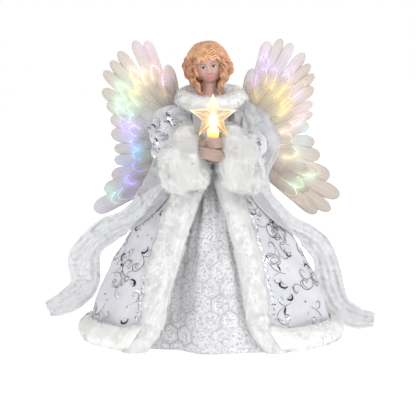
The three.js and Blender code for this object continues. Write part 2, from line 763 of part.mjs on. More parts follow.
// Point of a bell-shaped skirt, at an angle from straight ahead towards the right.
function bellPoint(turn, z, hem, waist, top, flare, folds, depth, phase) {
  const share = bellShare(z, top, flare);
  const ahead = Math.cos(turn) > 0 ? hem.front : hem.back;
  const wide = hem.wide + (waist.wide - hem.wide) * share;
  const deep = ahead + (waist.deep - ahead) * share;
  const swell = 1 + depth * (1 - share) * Math.cos(folds * turn + phase);
  return vec(wide * swell * Math.sin(turn), -deep * swell * Math.cos(turn), z);
}

const coatHem = { wide: COAT_HEM_HALF_WIDTH, front: COAT_HEM_FRONT, back: COAT_HEM_BACK };
const coatWaist = { wide: WAIST_HALF_WIDTH, deep: WAIST_HALF_DEPTH };
const gownHem = { wide: GOWN_HEM_HALF_WIDTH, front: GOWN_HEM_FRONT, back: GOWN_HEM_BACK };
const gownWaist = { wide: WAIST_HALF_WIDTH - GOWN_EASE, deep: WAIST_HALF_DEPTH - GOWN_EASE };

function coatPoint(turn, z) {
  return bellPoint(turn, z, coatHem, coatWaist, waistHeight, COAT_FLARE, COAT_FOLDS, COAT_FOLD_DEPTH, 0.6);
}

// Smooth bell that just clears the coat's folds.
function coatEnvelope(turn, z) {
  return bellPoint(turn, z, coatHem, coatWaist, waistHeight, COAT_FLARE, 0, COAT_FOLD_DEPTH, 0);
}

function gownPoint(turn, z) {
  return bellPoint(turn, z, gownHem, gownWaist, waistHeight, GOWN_FLARE, GOWN_FOLDS, GOWN_FOLD_DEPTH, 0.4);
}

// Level direction out of the coat.
function coatOut(turn, z) {
  const ahead = coatPoint(turn + 1e-3, z).sub(coatPoint(turn - 1e-3, z));
  return vec(-ahead.y, ahead.x, 0).normalize().negate();
}

const coatSpeed = (turn, z) => coatPoint(turn + 5e-3, z).distanceTo(coatPoint(turn - 5e-3, z)) / 1e-2;

// Angle of the coat's front edge; side -1 is the left edge.
function frontEdge(side, z) {
  const base = side < 0 ? LEFT_FRONT_ANGLE : RIGHT_FRONT_ANGLE;
  const low = Math.max(0, 1 - z / FRONT_KICK_HEIGHT);
  return side * radians(base + FRONT_KICK * low * low);
}

function coat() {
  const surface = (u, v) => {
    const z = COAT_HEM_HEIGHT + (waistHeight - COAT_HEM_HEIGHT) * v;
    const [from, to] = [frontEdge(1, z), frontEdge(-1, z) + Math.PI * 2];
    return coatPoint(from + (to - from) * u, z);
  };
  return sheet(surface, CLOTH, 44, 5);
}

function gown() {
  const top = waistHeight - GAP;
  const surface = (u, v) => gownPoint(u * Math.PI * 2, GOWN_HEM_HEIGHT + (top - GOWN_HEM_HEIGHT) * v);
  return sheet(surface, CLOTH, 36, 5, true);
}

function bodice() {
  const shape = (grow) => (u, v) => {
    const turn = u * Math.PI * 2;
    const share = Math.pow(v, 2.4);
    const wide = TORSO_HALF_WIDTH + 4.5 - 5.5 * share + grow;
    const deep = bodiceDepth - 1.6 * share + grow;
    return vec(wide * Math.cos(turn), deep * Math.sin(turn), bodiceBottom + BODICE_HEIGHT * v);
  };
  const made = slab(shape(-CLOTH), shape(0), 20, 4, true);
  const armBore = rod(ARM_WIRE_RADIUS + GAP, vec(-60, 0, armHeight), vec(60, 0, armHeight));
  const leads = [-1, 1].map((side) => wire(bundlePoints(side), BUNDLE_RADIUS + GAP, 12));
  const screws = screwHeights.map((z) => rod(SCREW_RADIUS + GAP, vec(0, 0, z), vec(0, 60, z)));
  const lead = wire(lampLeadPoints(), LEAD_RADIUS + GAP, 14);
  return mainBody(cut(made, armBore, ...leads, ...screws, lead));
}

// Strip of fur over the coat's front edge.
function frontFur(side, grow = 0) {
  const place = (height) => (u, v) => {
    const z = HEM_FUR_LIFT + (furTop - HEM_FUR_LIFT) * v;
    const across = 2 * u - 1;
    const edge = frontEdge(side, z);
    const taper = Math.min(1, 0.62 + 0.38 * (1 - v) * 2.2);
    const turn = edge + (across * (FUR_WIDTH / 2 + grow) * taper) / coatSpeed(edge, z);
    const crown = FUR_EDGE + (FUR_THICKNESS - FUR_EDGE) * Math.sqrt(1 - Math.pow(Math.abs(across), 2.4));
    const lift = height ? GAP + crown + grow : GAP - grow;
    return coatPoint(turn, z).addScaledVector(coatOut(edge, z), lift);
  };
  return slab(place(false), place(true), 5, 12);
}

// Roll of fur along the coat's hem, between the front strips.
function hemFur() {
  const place = (height) => (u, v) => {
    const z = HEM_FUR_LIFT + HEM_FUR_HEIGHT * v;
    const spare = (side) => (FUR_WIDTH / 2 + 2.5) / coatSpeed(frontEdge(side, z), z);
    const from = frontEdge(1, z) + spare(1);
    const to = frontEdge(-1, z) - spare(-1) + Math.PI * 2;
    const turn = from + (to - from) * u;
    const across = 2 * v - 1;
    const crown = FUR_EDGE + (FUR_THICKNESS - FUR_EDGE) * Math.sqrt(1 - Math.pow(Math.abs(across), 2.4));
    const out = coatEnvelope(turn, z).setZ(0).normalize();
    const seat = GAP + HEM_FUR_SEAT;
    return coatEnvelope(turn, z).addScaledVector(out, height ? seat + crown : seat);
  };
  return slab(place(false), place(true), 30, 4);
}

// Sleeves and arms

function sleevePath(side) {
  return new THREE.CatmullRomCurve3([
    vec(side * (TORSO_HALF_WIDTH + SHOULDER_OUT), 1, armHeight + 4),
    vec(side * (TORSO_HALF_WIDTH + UPPER_ARM_OUT), 0, armHeight + 3),
    vec(side * (TORSO_HALF_WIDTH + ELBOW_OUT), -ELBOW_FORWARD, armHeight - ELBOW_DROP),
    vec(side * (CUFF_X + 8), CUFF_Y + FOREARM_IN, cuffHeight + 4),
    vec(side * (CUFF_X + 3), CUFF_Y + MOUTH_IN, cuffHeight + 2),
  ]);
}

function sleeveRadius(v) {
  const widen = SLEEVE_ELBOW_RADIUS - SLEEVE_SHOULDER_RADIUS;
  const first = SLEEVE_SHOULDER_RADIUS + widen * Math.min(1, v * 2.6);
  return first + (SLEEVE_MOUTH_RADIUS - SLEEVE_ELBOW_RADIUS) * Math.max(0, v * 2 - 1);
}

function sleeveSurface(side, grow) {
  const path = sleevePath(side);
  return (u, v) => {
    const along = path.getTangentAt(v);
    const level = vec(0, 0, 1).cross(along).normalize();
    const upward = along.clone().cross(level);
    const turn = u * Math.PI * 2;
    const fold = 1 + SLEEVE_FOLD_DEPTH * Math.sin(Math.PI * v) * Math.cos(5 * turn + 9 * v);
    const reach = sleeveRadius(v) * fold + grow;
    const point = path.getPointAt(v);
    point.addScaledVector(level, reach * Math.cos(turn));
    return point.addScaledVector(upward, reach * Math.sin(turn));
  };
}

function sleeveSolid(side, grow) {
  const surface = sleeveSurface(side, grow);
  return loft(Array.from({ length: 8 }, (_, j) => {
    return Array.from({ length: 14 }, (_unused, i) => surface(i / 14, j / 7));
  }));
}

function sleeve(side) {
  const made = slab(sleeveSurface(side, -CLOTH), sleeveSurface(side, 0), 14, 7, true);
  return mainBody(cut(made, collarSolid(GAP)));
}

function wristPlace(side) {
  const rise = side < 0 ? HAND_STAGGER : -HAND_STAGGER;
  return vec(LAMP_X + side * WRIST_OUT, LAMP_Y + WRIST_BACK, handsMiddle + rise);
}

function wristEnd(side) {
  return wristPlace(side).add(vec(side * WRIST_LENGTH, WRIST_LENGTH / 2, 0));
}

// Blind end of the arm wire's bore in the palm.
function armEnd(side) {
  return wristPlace(side).add(vec(side * -WRIST_BORE_LENGTH, -WRIST_BORE_LENGTH / 2, 0));
}

function armPoints(side) {
  const wrist = wristPlace(side);
  return [
    vec(side * (TORSO_HALF_WIDTH - 6), 0, armHeight),
    vec(side * (TORSO_HALF_WIDTH + 6), 0, armHeight),
    vec(side * (TORSO_HALF_WIDTH + 20), -4, armHeight - 4),
    vec(side * (TORSO_HALF_WIDTH + 18), -24, handsMiddle + 1),
    vec(side * FOREARM_OUT, LAMP_Y + FOREARM_BACK, wrist.z),
    wristEnd(side),
    armEnd(side).lerp(wristEnd(side), 0.12),
  ];
}

// Hand closed round the lamp socket, with its wrist running out to the side.
function handReach() {
  return LAMP_SOCKET_RADIUS + FINGER_EASE + FINGER_RADIUS;
}

function hand(side) {
  const wrist = wristPlace(side);
  const reach = handReach();
  const palmHeight = ((FINGERS - 1) * FINGER_PITCH) / 2 + FINGER_RADIUS;
  const around = (turn, z) => {
    return vec(LAMP_X - side * reach * Math.cos(turn), LAMP_Y + reach * Math.sin(turn), z);
  };
  const fingers = Array.from({ length: FINGERS }, (_, i) => {
    const z = wrist.z + (i - (FINGERS - 1) / 2) * FINGER_PITCH;
    const end = 330 - 8 * Math.abs(i - 1);
    const points = Array.from({ length: 6 }, (_unused, k) => {
      return around(radians(165 + ((end - 165) * k) / 5), z);
    });
    return wire(points, FINGER_RADIUS, 6, 6);
  });
  const palm = ellipsoid(PALM_THICKNESS, 6.5, palmHeight, 8, 6);
  palm.translate(LAMP_X + side * (reach + 2.2), LAMP_Y + 3, wrist.z);
  const arm = rod(WRIST_RADIUS, wrist, wristEnd(side), 8);
  const socket = post(LAMP_SOCKET_RADIUS + GAP, 0, 400, LAMP_X, LAMP_Y, 16);
  const bore = rod(ARM_WIRE_RADIUS + 2 * GAP, armEnd(side), wristEnd(side).add(vec(side, 0.5, 0)));
  return mainBody(cut(join(cut(palm, socket), cut(arm, socket), ...fingers), bore));
}

function cuff(side) {
  const reach = handReach() + FINGER_RADIUS + GAP;
  const grip = post(reach, lampSocketBottom - 3, lampSocketTop + 4, LAMP_X, LAMP_Y, 16);
  const wrist = wristPlace(side);
  const hold = rod(WRIST_RADIUS + GAP, wrist, wristEnd(side).add(vec(side, 0.5, 0)), 8);
  const palm = ellipsoid(PALM_THICKNESS + GAP, 6.5 + GAP, 7, 8, 6);
  palm.translate(LAMP_X + side * (handReach() + 2.2), LAMP_Y + 3, wrist.z);
  const bore = wire(armPoints(side), ARM_WIRE_RADIUS + GAP, 16);
  return mainBody(cut(cuffSolid(side, 0), sleeveSolid(side, GAP), grip, hold, palm, bore));
}

function collar() {
  return mainBody(cut(collarSolid(0), posed(hairSolid(GAP)), neckSolid(GAP)));
}

// Stole
// Each place is [x, y, z] of the ribbon's middle, [x, y, z] across it, and its width.

const LEFT_STOLE = [
  [[-46, 19, 214], [-0.3, 0, 0.95], 24],
  [[-60, 17, 196], [-0.75, 0, 0.65], 32],
  [[-71, 17, 172], [-0.95, 0.1, 0.3], 38],
  [[-86, 16, 145], [-0.9, 0, 0.45], 42],
  [[-102, 15, 121], [-0.75, 0, 0.66], 36],
  [[-121, 14, 101], [-0.5, 0, 0.87], 30],
  [[-130, 12, 79], [-0.95, 0, 0.3], 28],
  [[-134, 14, 56], [-1, 0, 0.1], 28],
  [[-148, 16, 39], [-0.6, 0, 0.8], 26],
  [[-TAIL_REACH, 16, 34], [0, 0, 1], 22],
];

const RIGHT_STOLE = [
  [[25, -33, 231], [0.1, 0, 1], 18],
  [[46, -37, 227], [0, -0.1, 1], 28],
  [[65, -23, 217], [-0.15, -0.1, 0.97], 38],
  [[69, -2, 207], [0.1, 0, 1], 40],
  [[66, 13, 190], [0.7, 0, 0.7], 34],
  [[61, 17, 167], [1, 0.2, 0.1], 26],
  [[68, 19, 142], [0.95, 0.3, 0.1], 22],
  [[88, 18, 118], [0.8, 0.1, 0.5], 24],
  [[107, 16, 101], [0.45, 0, 0.9], 27],
  [[121, 18, 81], [0.8, 0, 0.6], 27],
  [[130, 24, 56], [1, 0, 0.1], 26],
  [[132, 30, 37], [0.95, 0, 0.3], 24],
  [[147, 27, 21], [0.3, 0, 0.95], 22],
  [[TAIL_REACH, 22, 18], [0, 0, 1], 20],
];

function stole(places) {
  const rise = armHeight / STOLE_ARM_HEIGHT;
  const middle = new THREE.CatmullRomCurve3(places.map(([[x, y, z]]) => vec(x, y, z * rise)));
  const half = new THREE.CatmullRomCurve3(places.map(([, across, width]) => {
    return vec(...across).setLength(width / 2);
  }));
  const surface = (u, v) => middle.getPoint(v).addScaledVector(half.getPoint(v), 2 * u - 1);
  return sheet(surface, STOLE_SHEET, 3, 2 * places.length);
}

// Wings

function wingBracket() {
  const back = block(2 * BRACKET_HALF_WIDTH, BRACKET_THICKNESS, BRACKET_HEIGHT, 0, 0, hingeMiddle);
  back.translate(0, (bracketFront + bracketBack) / 2, 0);
  const pieces = [back];
  const bores = screwHeights.map((z) => rod(SCREW_RADIUS + GAP, vec(0, 0, z), vec(0, 60, z)));
  [-1, 1].forEach((side) => {
    [-1, 1].forEach((end) => {
      const outer = hingeMiddle + (end * BRACKET_HEIGHT) / 2;
      const inner = outer - end * HINGE_EAR_HEIGHT;
      const [low, high] = [Math.min(inner, outer), Math.max(inner, outer)];
      pieces.push(post(HINGE_KNUCKLE_RADIUS, low, high, side * HINGE_X, hingeY, 12));
      const depth = hingeY - bracketFront;
      const width = HINGE_X - BRACKET_HALF_WIDTH + HINGE_KNUCKLE_RADIUS;
      const x = side * (BRACKET_HALF_WIDTH - HINGE_KNUCKLE_RADIUS + width / 2);
      pieces.push(block(width, depth, HINGE_EAR_HEIGHT, x, bracketFront + depth / 2, (low + high) / 2));
    });
    bores.push(post(HINGE_PIN_RADIUS + GAP, 0, 400, side * HINGE_X, hingeY, 12));
  });
  return cut(join(...pieces), ...bores);
}

function hingePin() {
  const half = BRACKET_HEIGHT / 2;
  const head = HINGE_PIN_RADIUS * 1.8;
  return turned([
    [0, -half - 1],
    [HINGE_PIN_RADIUS, -half - 1],
    [HINGE_PIN_RADIUS, half + GAP],
    [head, half + GAP],
    [head, half + GAP + HINGE_PIN_HEAD],
    [0, half + GAP + HINGE_PIN_HEAD],
  ], 12);
}

function bracketScrew() {
  const reach = bracketBack + GAP + TORSO_HALF_DEPTH * 0.5;
  return turned([
    [0, -reach],
    [SCREW_RADIUS, -reach],
    [SCREW_RADIUS, 0],
    [SCREW_HEAD_RADIUS, 0],
    [SCREW_HEAD_RADIUS, SCREW_HEAD_HEIGHT],
    [0, SCREW_HEAD_HEIGHT],
  ], 10).rotateX(-Math.PI / 2);
}

const lengthCurve = new THREE.SplineCurve(FEATHER_LENGTHS.map((length, i) => new THREE.Vector2(i, length)));

// Feathers of one fan, from the top one to the lowest, in the plane of the wing.
function feathers(count, share, lift) {
  const list = Array.from({ length: count }, (_, i) => {
    const t = i / (count - 1);
    const turn = radians(FAN_START + lift + FAN_SPREAD * Math.pow(t, FAN_EASE));
    const along = new THREE.Vector2(Math.sin(turn), Math.cos(turn));
    const across = new THREE.Vector2(along.y, -along.x);
    const root = new THREE.Vector2(SPINE_X, SPINE_TOP + (SPINE_BOTTOM - SPINE_TOP) * t);
    const length = lengthCurve.getPoint(t).y * share;
    const tip = root.clone().addScaledVector(along, length);
    return { along, across, root, tip, length };
  });
  const spacing = list.map((one, i) => {
    const other = list[i + 1] || list[i - 1];
    const [short, long] = one.length < other.length ? [one, other] : [other, one];
    return Math.abs(short.tip.clone().sub(long.root).dot(long.across));
  });
  list.forEach((one, i) => {
    one.half = (Math.min(spacing[i], spacing[Math.max(0, i - 1)]) * FEATHER_FILL) / 2;
  });
  return list;
}

function fanShape(count, share, lift) {
  const list = feathers(count, share, lift);
  const inner = SPINE_X - SPINE_WIDTH / 2;
  const shape = new THREE.Shape();
  shape.moveTo(inner, SPINE_TOP);
  list.forEach((one, i) => {
    const crown = one.half * 1.5;
    const heart = one.tip.clone().addScaledVector(one.along, -crown);
    for (let k = -2; k <= 2; k += 1) {
      const turn = (k * Math.PI) / 4;
      const point = heart.clone().addScaledVector(one.across, one.half * Math.sin(turn));
      point.addScaledVector(one.along, crown * Math.cos(turn));
      shape.lineTo(point.x, point.y);
    }
    const next = list[i + 1];
    if (next) {
      const end = heart.addScaledVector(one.across, one.half);
      const start = next.tip.clone().addScaledVector(next.along, -next.half * 1.5);
      start.addScaledVector(next.across, -next.half);
      const notch = end.clone().add(start).divideScalar(2);
      const outwards = one.along.clone().add(next.along).normalize();
      const drop = Math.abs(end.dot(outwards) - start.dot(outwards)) / 2;
      notch.addScaledVector(outwards, -drop - FEATHER_NOTCH * share);
      shape.lineTo(notch.x, notch.y);
    }
  });
  shape.lineTo(inner, SPINE_BOTTOM);
  return shape;
}

// Light strands from the wing's root to the middle feathers' tips.
function strandShape(lift) {
  const root = new THREE.Vector2(SPINE_X, (SPINE_TOP + SPINE_BOTTOM) / 2);
  const shape = new THREE.Shape();
  shape.moveTo(root.x - STRAND_ROOT_RADIUS, root.y - STRAND_ROOT_RADIUS / 2);
  shape.lineTo(root.x - STRAND_ROOT_RADIUS, root.y + STRAND_ROOT_RADIUS / 2);
  feathers(MIDDLE_FEATHERS, MIDDLE_SHARE, lift).forEach(({ tip }) => {
    const along = tip.clone().sub(root);
    const length = along.length() - 4;
    along.normalize();
    const across = new THREE.Vector2(along.y, -along.x).multiplyScalar(STRAND_WIDTH / 2);
    const near = root.clone().addScaledVector(along, STRAND_ROOT_RADIUS);
    const far = root.clone().addScaledVector(along, length);
    [near.clone().sub(across), far.clone().sub(across), far.clone().add(across), near.clone().add(across)]
      .forEach((point) => shape.lineTo(point.x, point.y));
  });
  return shape;
}

function wingSpine(side) {
  const half = BRACKET_HEIGHT / 2 - HINGE_EAR_HEIGHT - GAP;
  const [inner, outer] = [SPINE_X - SPINE_WIDTH / 2, SPINE_X + SPINE_WIDTH / 2];
  const shape = new THREE.Shape();
  [[2, -half], [inner, -half], [inner, SPINE_BOTTOM], [outer, SPINE_BOTTOM], [outer, SPINE_TOP],
    [inner, SPINE_TOP], [inner, half], [2, half]].forEach(([x, y], i) => {
    if (i === 0) shape.moveTo(x, y);
    else shape.lineTo(x, y);
  });
  const leaf = plate(shape, SPINE_THICKNESS, -SPINE_THICKNESS / 2, side);
  const bore = post(HINGE_PIN_RADIUS + GAP, -60, 60, 0, 0, 12);
  return cut(join(leaf, post(HINGE_KNUCKLE_RADIUS, -half, half, 0, 0, 12)), bore);
}

// Assembly

const colours = {
  plastic: { color: 0xd9d6cf, roughness: 0.5 },
  skin: { color: 0xf1cdb6, roughness: 0.45 },
  hair: { color: 0xb9794a, roughness: 0.5 },
  fur: { color: 0xf4f1ec, roughness: 0.95 },
  gown: { color: 0xe4e2e0, roughness: 0.6 },
  coat: { color: 0xc9c8d0, roughness: 0.45, metalness: 0.2 },
  sheer: { color: 0xc8c9cc, roughness: 0.5 },
  feather: { color: 0xeae2d0, roughness: 0.6 },
  strand: { color: 0xf2ecff, roughness: 0.2 },
  steel: { color: 0xb8bbc0, roughness: 0.35, metalness: 1 },
  board: { color: 0x2f6b45, roughness: 0.6 },
  dark: { color: 0x2a2a2c, roughness: 0.5 },
  amber: { color: 0xd98a2b, roughness: 0.35 },
  clear: { color: 0xf3dca8, roughness: 0.08 },
};

const angel = new THREE.Group();

function place(name, geometry, colour, parent = angel) {
  const mesh = new THREE.Mesh(geometry, new THREE.MeshStandardMaterial(colours[colour]));
  mesh.name = name;
  parent.add(mesh);
  return mesh;
}

place("support_cone", supportCone(), "plastic");
place("tree_socket", treeSocket(), "plastic");
place("floor_plate", floorPlate(), "plastic");
const torso = torsoShells();
place("torso_front", torso.front, "plastic");
place("torso_back", torso.back, "plastic");
place("lamp_board", lampBoard(), "board");
place("power_inlet", powerInlet(), "dark");
place("lamp_lead", wire(lampLeadPoints(), LEAD_RADIUS, 14), "dark");

[[-1, "left"], [1, "right"]].forEach(([side, name]) => {
  const lightX = side * (LIGHT_SPACING / 2);
  place(`${name}_light`, light(), "clear").position.set(lightX, 0, boardTop + GAP);
  place(`${name}_ferrule`, ferrule(), "steel").position.set(lightX, 0, ferruleBottom);
  place(`${name}_fibre_bundle`, wire(bundlePoints(side), BUNDLE_RADIUS, 12), "strand");
  place(`${name}_arm_wire`, wire(armPoints(side), ARM_WIRE_RADIUS, 16), "steel");
  place(`${name}_hand`, hand(side), "skin");
  place(`${name}_sleeve`, sleeve(side), "coat");
  place(`${name}_cuff`, cuff(side), "fur");
  place(`${name}_front_fur`, frontFur(side), "fur");
  place(`${name}_hinge_pin`, hingePin(), "steel").position.set(side * HINGE_X, hingeY, hingeMiddle);
});
place("left_stole", stole(LEFT_STOLE), "sheer");
place("right_stole", stole(RIGHT_STOLE), "sheer");

place("lamp_socket", lampSocket(), "amber");
place("bulb_base", bulbBase(), "amber").position.set(LAMP_X, LAMP_Y, bulbBaseBottom);
place("bulb_glass", turned(bulbProfile(0), 16), "clear").position.set(LAMP_X, LAMP_Y, bulbBaseTop + GAP);
place("star", star(), "clear").position.set(LAMP_X, LAMP_Y, starCentre);

place("head", head(), "skin");
place("hair", hair(), "hair");
place("collar", collar(), "fur");
place("bodice", bodice(), "coat");
place("gown", gown(), "gown");
place("coat", coat(), "coat");
place("hem_fur", hemFur(), "fur");

place("wing_bracket", wingBracket(), "plastic");
screwHeights.forEach((z, i) => {
  const screw = place(i === 0 ? "lower_bracket_screw" : "upper_bracket_screw", bracketScrew(), "steel");
  screw.position.set(0, bracketBack + GAP, z);
});

[[-1, "left", LEFT_FAN_LIFT], [1, "right", RIGHT_FAN_LIFT]].forEach(([side, name, lift]) => {
  const wing = new THREE.Group();
  wing.position.set(side * HINGE_X, hingeY, hingeMiddle);
  wing.rotation.z = side * radians(WING_SWEEP);
  angel.add(wing);
  const layer = FEATHER_SHEET + GAP;
  const face = -SPINE_THICKNESS / 2;
  const fan = (count, share) => fanShape(count, share, lift);
  place(`${name}_wing_spine`, wingSpine(side), "plastic", wing);
  const long = plate(fan(LONG_FEATHERS, 1), FEATHER_SHEET, face - layer, side);
  place(`${name}_long_feathers`, long, "feather", wing);
  const middle = plate(fan(MIDDLE_FEATHERS, MIDDLE_SHARE), FEATHER_SHEET, face - 2 * layer, side);
  place(`${name}_middle_feathers`, middle, "feather", wing);
  const strands = plate(strandShape(lift), FEATHER_SHEET, face - 3 * layer, side);
  place(`${name}_wing_strands`, strands, "strand", wing);
  const short = plate(fan(SHORT_FEATHERS, SHORT_SHARE), FEATHER_SHEET, face - 4 * layer, side);
  place(`${name}_short_feathers`, short, "feather", wing);
});

export default angel;
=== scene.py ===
"""Angel tree topper: soft garments, fur, hair, face, lit wings and lamp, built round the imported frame.

Sizes inside the shape functions are in millimetres; finished meshes are in metres.
The figure faces -Y. Left is -X and right is +X, as seen from the front.
"""

import math
from typing import NamedTuple

import bpy
import numpy as np
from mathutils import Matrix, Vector
from mathutils.kdtree import KDTree


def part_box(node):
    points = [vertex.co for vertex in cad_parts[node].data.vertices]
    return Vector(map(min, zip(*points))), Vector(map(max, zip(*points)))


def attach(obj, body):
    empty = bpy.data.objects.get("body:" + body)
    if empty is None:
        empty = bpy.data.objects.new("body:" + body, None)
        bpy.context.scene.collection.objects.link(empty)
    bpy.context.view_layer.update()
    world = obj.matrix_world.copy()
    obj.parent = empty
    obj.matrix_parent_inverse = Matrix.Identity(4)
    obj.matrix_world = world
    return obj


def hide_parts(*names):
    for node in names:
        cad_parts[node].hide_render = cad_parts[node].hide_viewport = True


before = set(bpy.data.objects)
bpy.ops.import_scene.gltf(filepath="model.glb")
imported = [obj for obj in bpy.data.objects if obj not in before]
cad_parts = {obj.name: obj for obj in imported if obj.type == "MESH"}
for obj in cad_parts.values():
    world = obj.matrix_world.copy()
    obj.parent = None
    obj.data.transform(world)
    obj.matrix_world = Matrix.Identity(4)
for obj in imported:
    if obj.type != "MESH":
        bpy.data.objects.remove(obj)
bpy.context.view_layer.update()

bl_info = {
    "name": "Angel Tree Topper",
    "version": (1, 0, 0),
    "blender": (4, 5, 0),
    "location": "View3D > Sidebar > Angel",
    "description": "Builds the garments, fur, hair, face, wings and lamp of an angel tree topper",
    "category": "Add Mesh",
}

MM = 0.001
TAU = 2 * math.pi
SIDES = {"left": -1, "right": 1}


# Numbers and shapes


def node_box(name):
    """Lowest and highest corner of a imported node, in millimetres."""
    low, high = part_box(name)
    return np.array(low) / MM, np.array(high) / MM


def unit(vectors):
    """Vectors of length one."""
    length = np.linalg.norm(vectors, axis=-1, keepdims=True)
    return vectors / np.maximum(length, 1e-9)


def smooth(low, high, value):
    """Soft step from 0 at low to 1 at high."""
    t = np.clip((value - low) / (high - low), 0, 1)
    return t * t * (3 - 2 * t)


def bump(x, z, at, wide, high=None):
    """Round hill of height one at a place."""
    return np.exp(-(((x - at[0]) / wide) ** 2) - ((z - at[1]) / (high or wide)) ** 2)


def both(x, z, at, wide, high=None):
    """Two round hills, one on each side of the middle."""
    return bump(x, z, at, wide, high) + bump(x, z, (-at[0], at[1]), wide, high)


def outwards(points):
    """Level directions away from the figure's axis."""
    return unit(points * np.array([1.0, 1.0, 0.0]))


def ripple(points, size, seed):
    """Even, seeded unevenness from about -1 to 1 with lumps of a size."""
    waves = 9
    rng = np.random.default_rng(seed)
    total = np.zeros(len(points))
    for _ in range(waves):
        heading = unit(rng.normal(size=3))
        total += np.sin(points @ heading * TAU / (size * rng.uniform(0.7, 1.6)) + rng.uniform(0, TAU))
    return total / math.sqrt(waves)


def spline(places, count, even=True):
    """Smooth line through places, as count rows; even rows are spread along the first three columns."""
    p = np.asarray(places, float)
    ends = np.vstack([2 * p[0] - p[1], p, 2 * p[-1] - p[-2]])
    t = np.linspace(0, len(p) - 1, count if not even else 40 * len(p))
    i = np.minimum(t.astype(int), len(p) - 2)
    f = (t - i)[:, None]
    a, b, c, d = ends[i], ends[i + 1], ends[i + 2], ends[i + 3]
    line = 0.5 * (2 * b + (c - a) * f + (2 * a - 5 * b + 4 * c - d) * f**2 + (3 * b - a - 3 * c + d) * f**3)
    if not even:
        return line
    along = np.r_[0, np.cumsum(np.linalg.norm(np.diff(line[:, :3], axis=0), axis=1))]
    at = np.linspace(0, along[-1], count)
    return np.stack([np.interp(at, along, line[:, k]) for k in range(line.shape[1])], 1)


def along_line(line, share):
    """Places on a row of points, at shares of its length."""
    at = np.clip(share, 0, 1) * (len(line) - 1)
    return np.stack([np.interp(at, np.arange(len(line)), line[:, k]) for k in range(line.shape[1])], -1)


def carried_frames(path):
    """Direction along a path, and two directions across it that turn as little as they can."""
    ahead = unit(np.gradient(path, axis=0))
    across = np.zeros_like(ahead)
    start = np.array([0.0, 0.0, 1.0]) if abs(ahead[0, 2]) < 0.9 else np.array([0.0, 1.0, 0.0])
    last = unit(np.cross(ahead[0], start))
    for k, heading in enumerate(ahead):
        last = unit(last - heading * (last @ heading))
        across[k] = last
    return ahead, across, np.cross(ahead, across)


def turned_about(points, axis, degrees):
    """Points turned about an axis through the origin."""
    c, s = math.cos(math.radians(degrees)), math.sin(math.radians(degrees))
    i, j = {"x": (1, 2), "y": (2, 0), "z": (0, 1)}[axis]
    out = np.array(points, float)
    out[..., i] = c * points[..., i] - s * points[..., j]
    out[..., j] = s * points[..., i] + c * points[..., j]
    return out


# Meshes


def deselect():
    """Nothing selected, in object mode."""
    if bpy.context.object and bpy.context.object.mode != "OBJECT":
        bpy.ops.object.mode_set(mode="OBJECT")
    bpy.ops.object.select_all(action="DESELECT")


def made_active(obj):
    """The only selected object, and the active one."""
    deselect()
    obj.select_set(True)
    bpy.context.view_layer.objects.active = obj
    return obj


def edit(obj, *steps):
    """Edit-mode operators run one after the other on the whole mesh."""
    made_active(obj)
    bpy.ops.object.mode_set(mode="EDIT")
    bpy.ops.mesh.select_mode(type="VERT")
    bpy.ops.mesh.select_all(action="SELECT")
    for step in steps:
        step()
    bpy.ops.object.mode_set(mode="OBJECT")
    return obj


def weld():
    bpy.ops.mesh.remove_doubles(threshold=2e-6)


def face_outwards():
    bpy.ops.mesh.normals_make_consistent(inside=False)


def close_ends():
    bpy.ops.mesh.fill_holes(sides=0)


def modify(obj, kind, **settings):
    """A modifier added with its settings and applied."""
    made_active(obj)
    added = obj.modifiers.new(kind.title(), kind)
    for key, value in settings.items():
        setattr(added, key, value)
    bpy.ops.object.modifier_apply(modifier=added.name)
    return obj


def places_of(obj):
    """Points of a mesh, in millimetres."""
    co = np.zeros(len(obj.data.vertices) * 3, np.float32)
    obj.data.vertices.foreach_get("co", co)
    return co.reshape(-1, 3).astype(float) / MM


def move_to(obj, points):
    """Points of a mesh put at places given in millimetres."""
    obj.data.vertices.foreach_set("co", (points * MM).astype(np.float32).ravel())
    obj.data.update()
    return obj


def smooth_faces(obj, angle=None):
    """Soft shading, kept hard over an angle if one is given."""
    made_active(obj)
    if angle is None:
        bpy.ops.object.shade_smooth()
    else:
        bpy.ops.object.shade_smooth_by_angle(angle=math.radians(angle))
    return obj


def cloth_grid(name, across, along, surface, cloth_map=None, closed=False):
    """A grid laid over a surface of u and v from 0 to 1; cloth_map gives cloth coordinates in metres."""
    deselect()
    bpy.ops.mesh.primitive_grid_add(x_subdivisions=across, y_subdivisions=along, size=1, calc_uvs=True)
    obj = bpy.context.object
    obj.name = obj.data.name = name
    flat = places_of(obj) * MM
    u, v = flat[:, 0] + 0.5, flat[:, 1] + 0.5
    move_to(obj, surface(u, v))
    if cloth_map is not None:
        corner = np.zeros(len(obj.data.loops), np.int32)
        obj.data.loops.foreach_get("vertex_index", corner)
        laid = np.stack(cloth_map(u, v), 1)[corner]
        obj.data.uv_layers.active.data.foreach_set("uv", laid.astype(np.float32).ravel())
    if closed:
        edit(obj, weld)
    return smooth_faces(obj)


def closed_roll(name, around, along, surface):
    """A grid rolled into a closed tube, with both ends filled."""
    obj = cloth_grid(name, around, along, surface, closed=True)
    edit(obj, close_ends, face_outwards)
    return smooth_faces(obj, 60)


def thick_cloth(obj, thickness):
    """Cloth given its thickness, inwards."""
    edit(obj, face_outwards)
    modify(obj, "SOLIDIFY", thickness=thickness, offset=-1.0)
    return smooth_faces(obj)


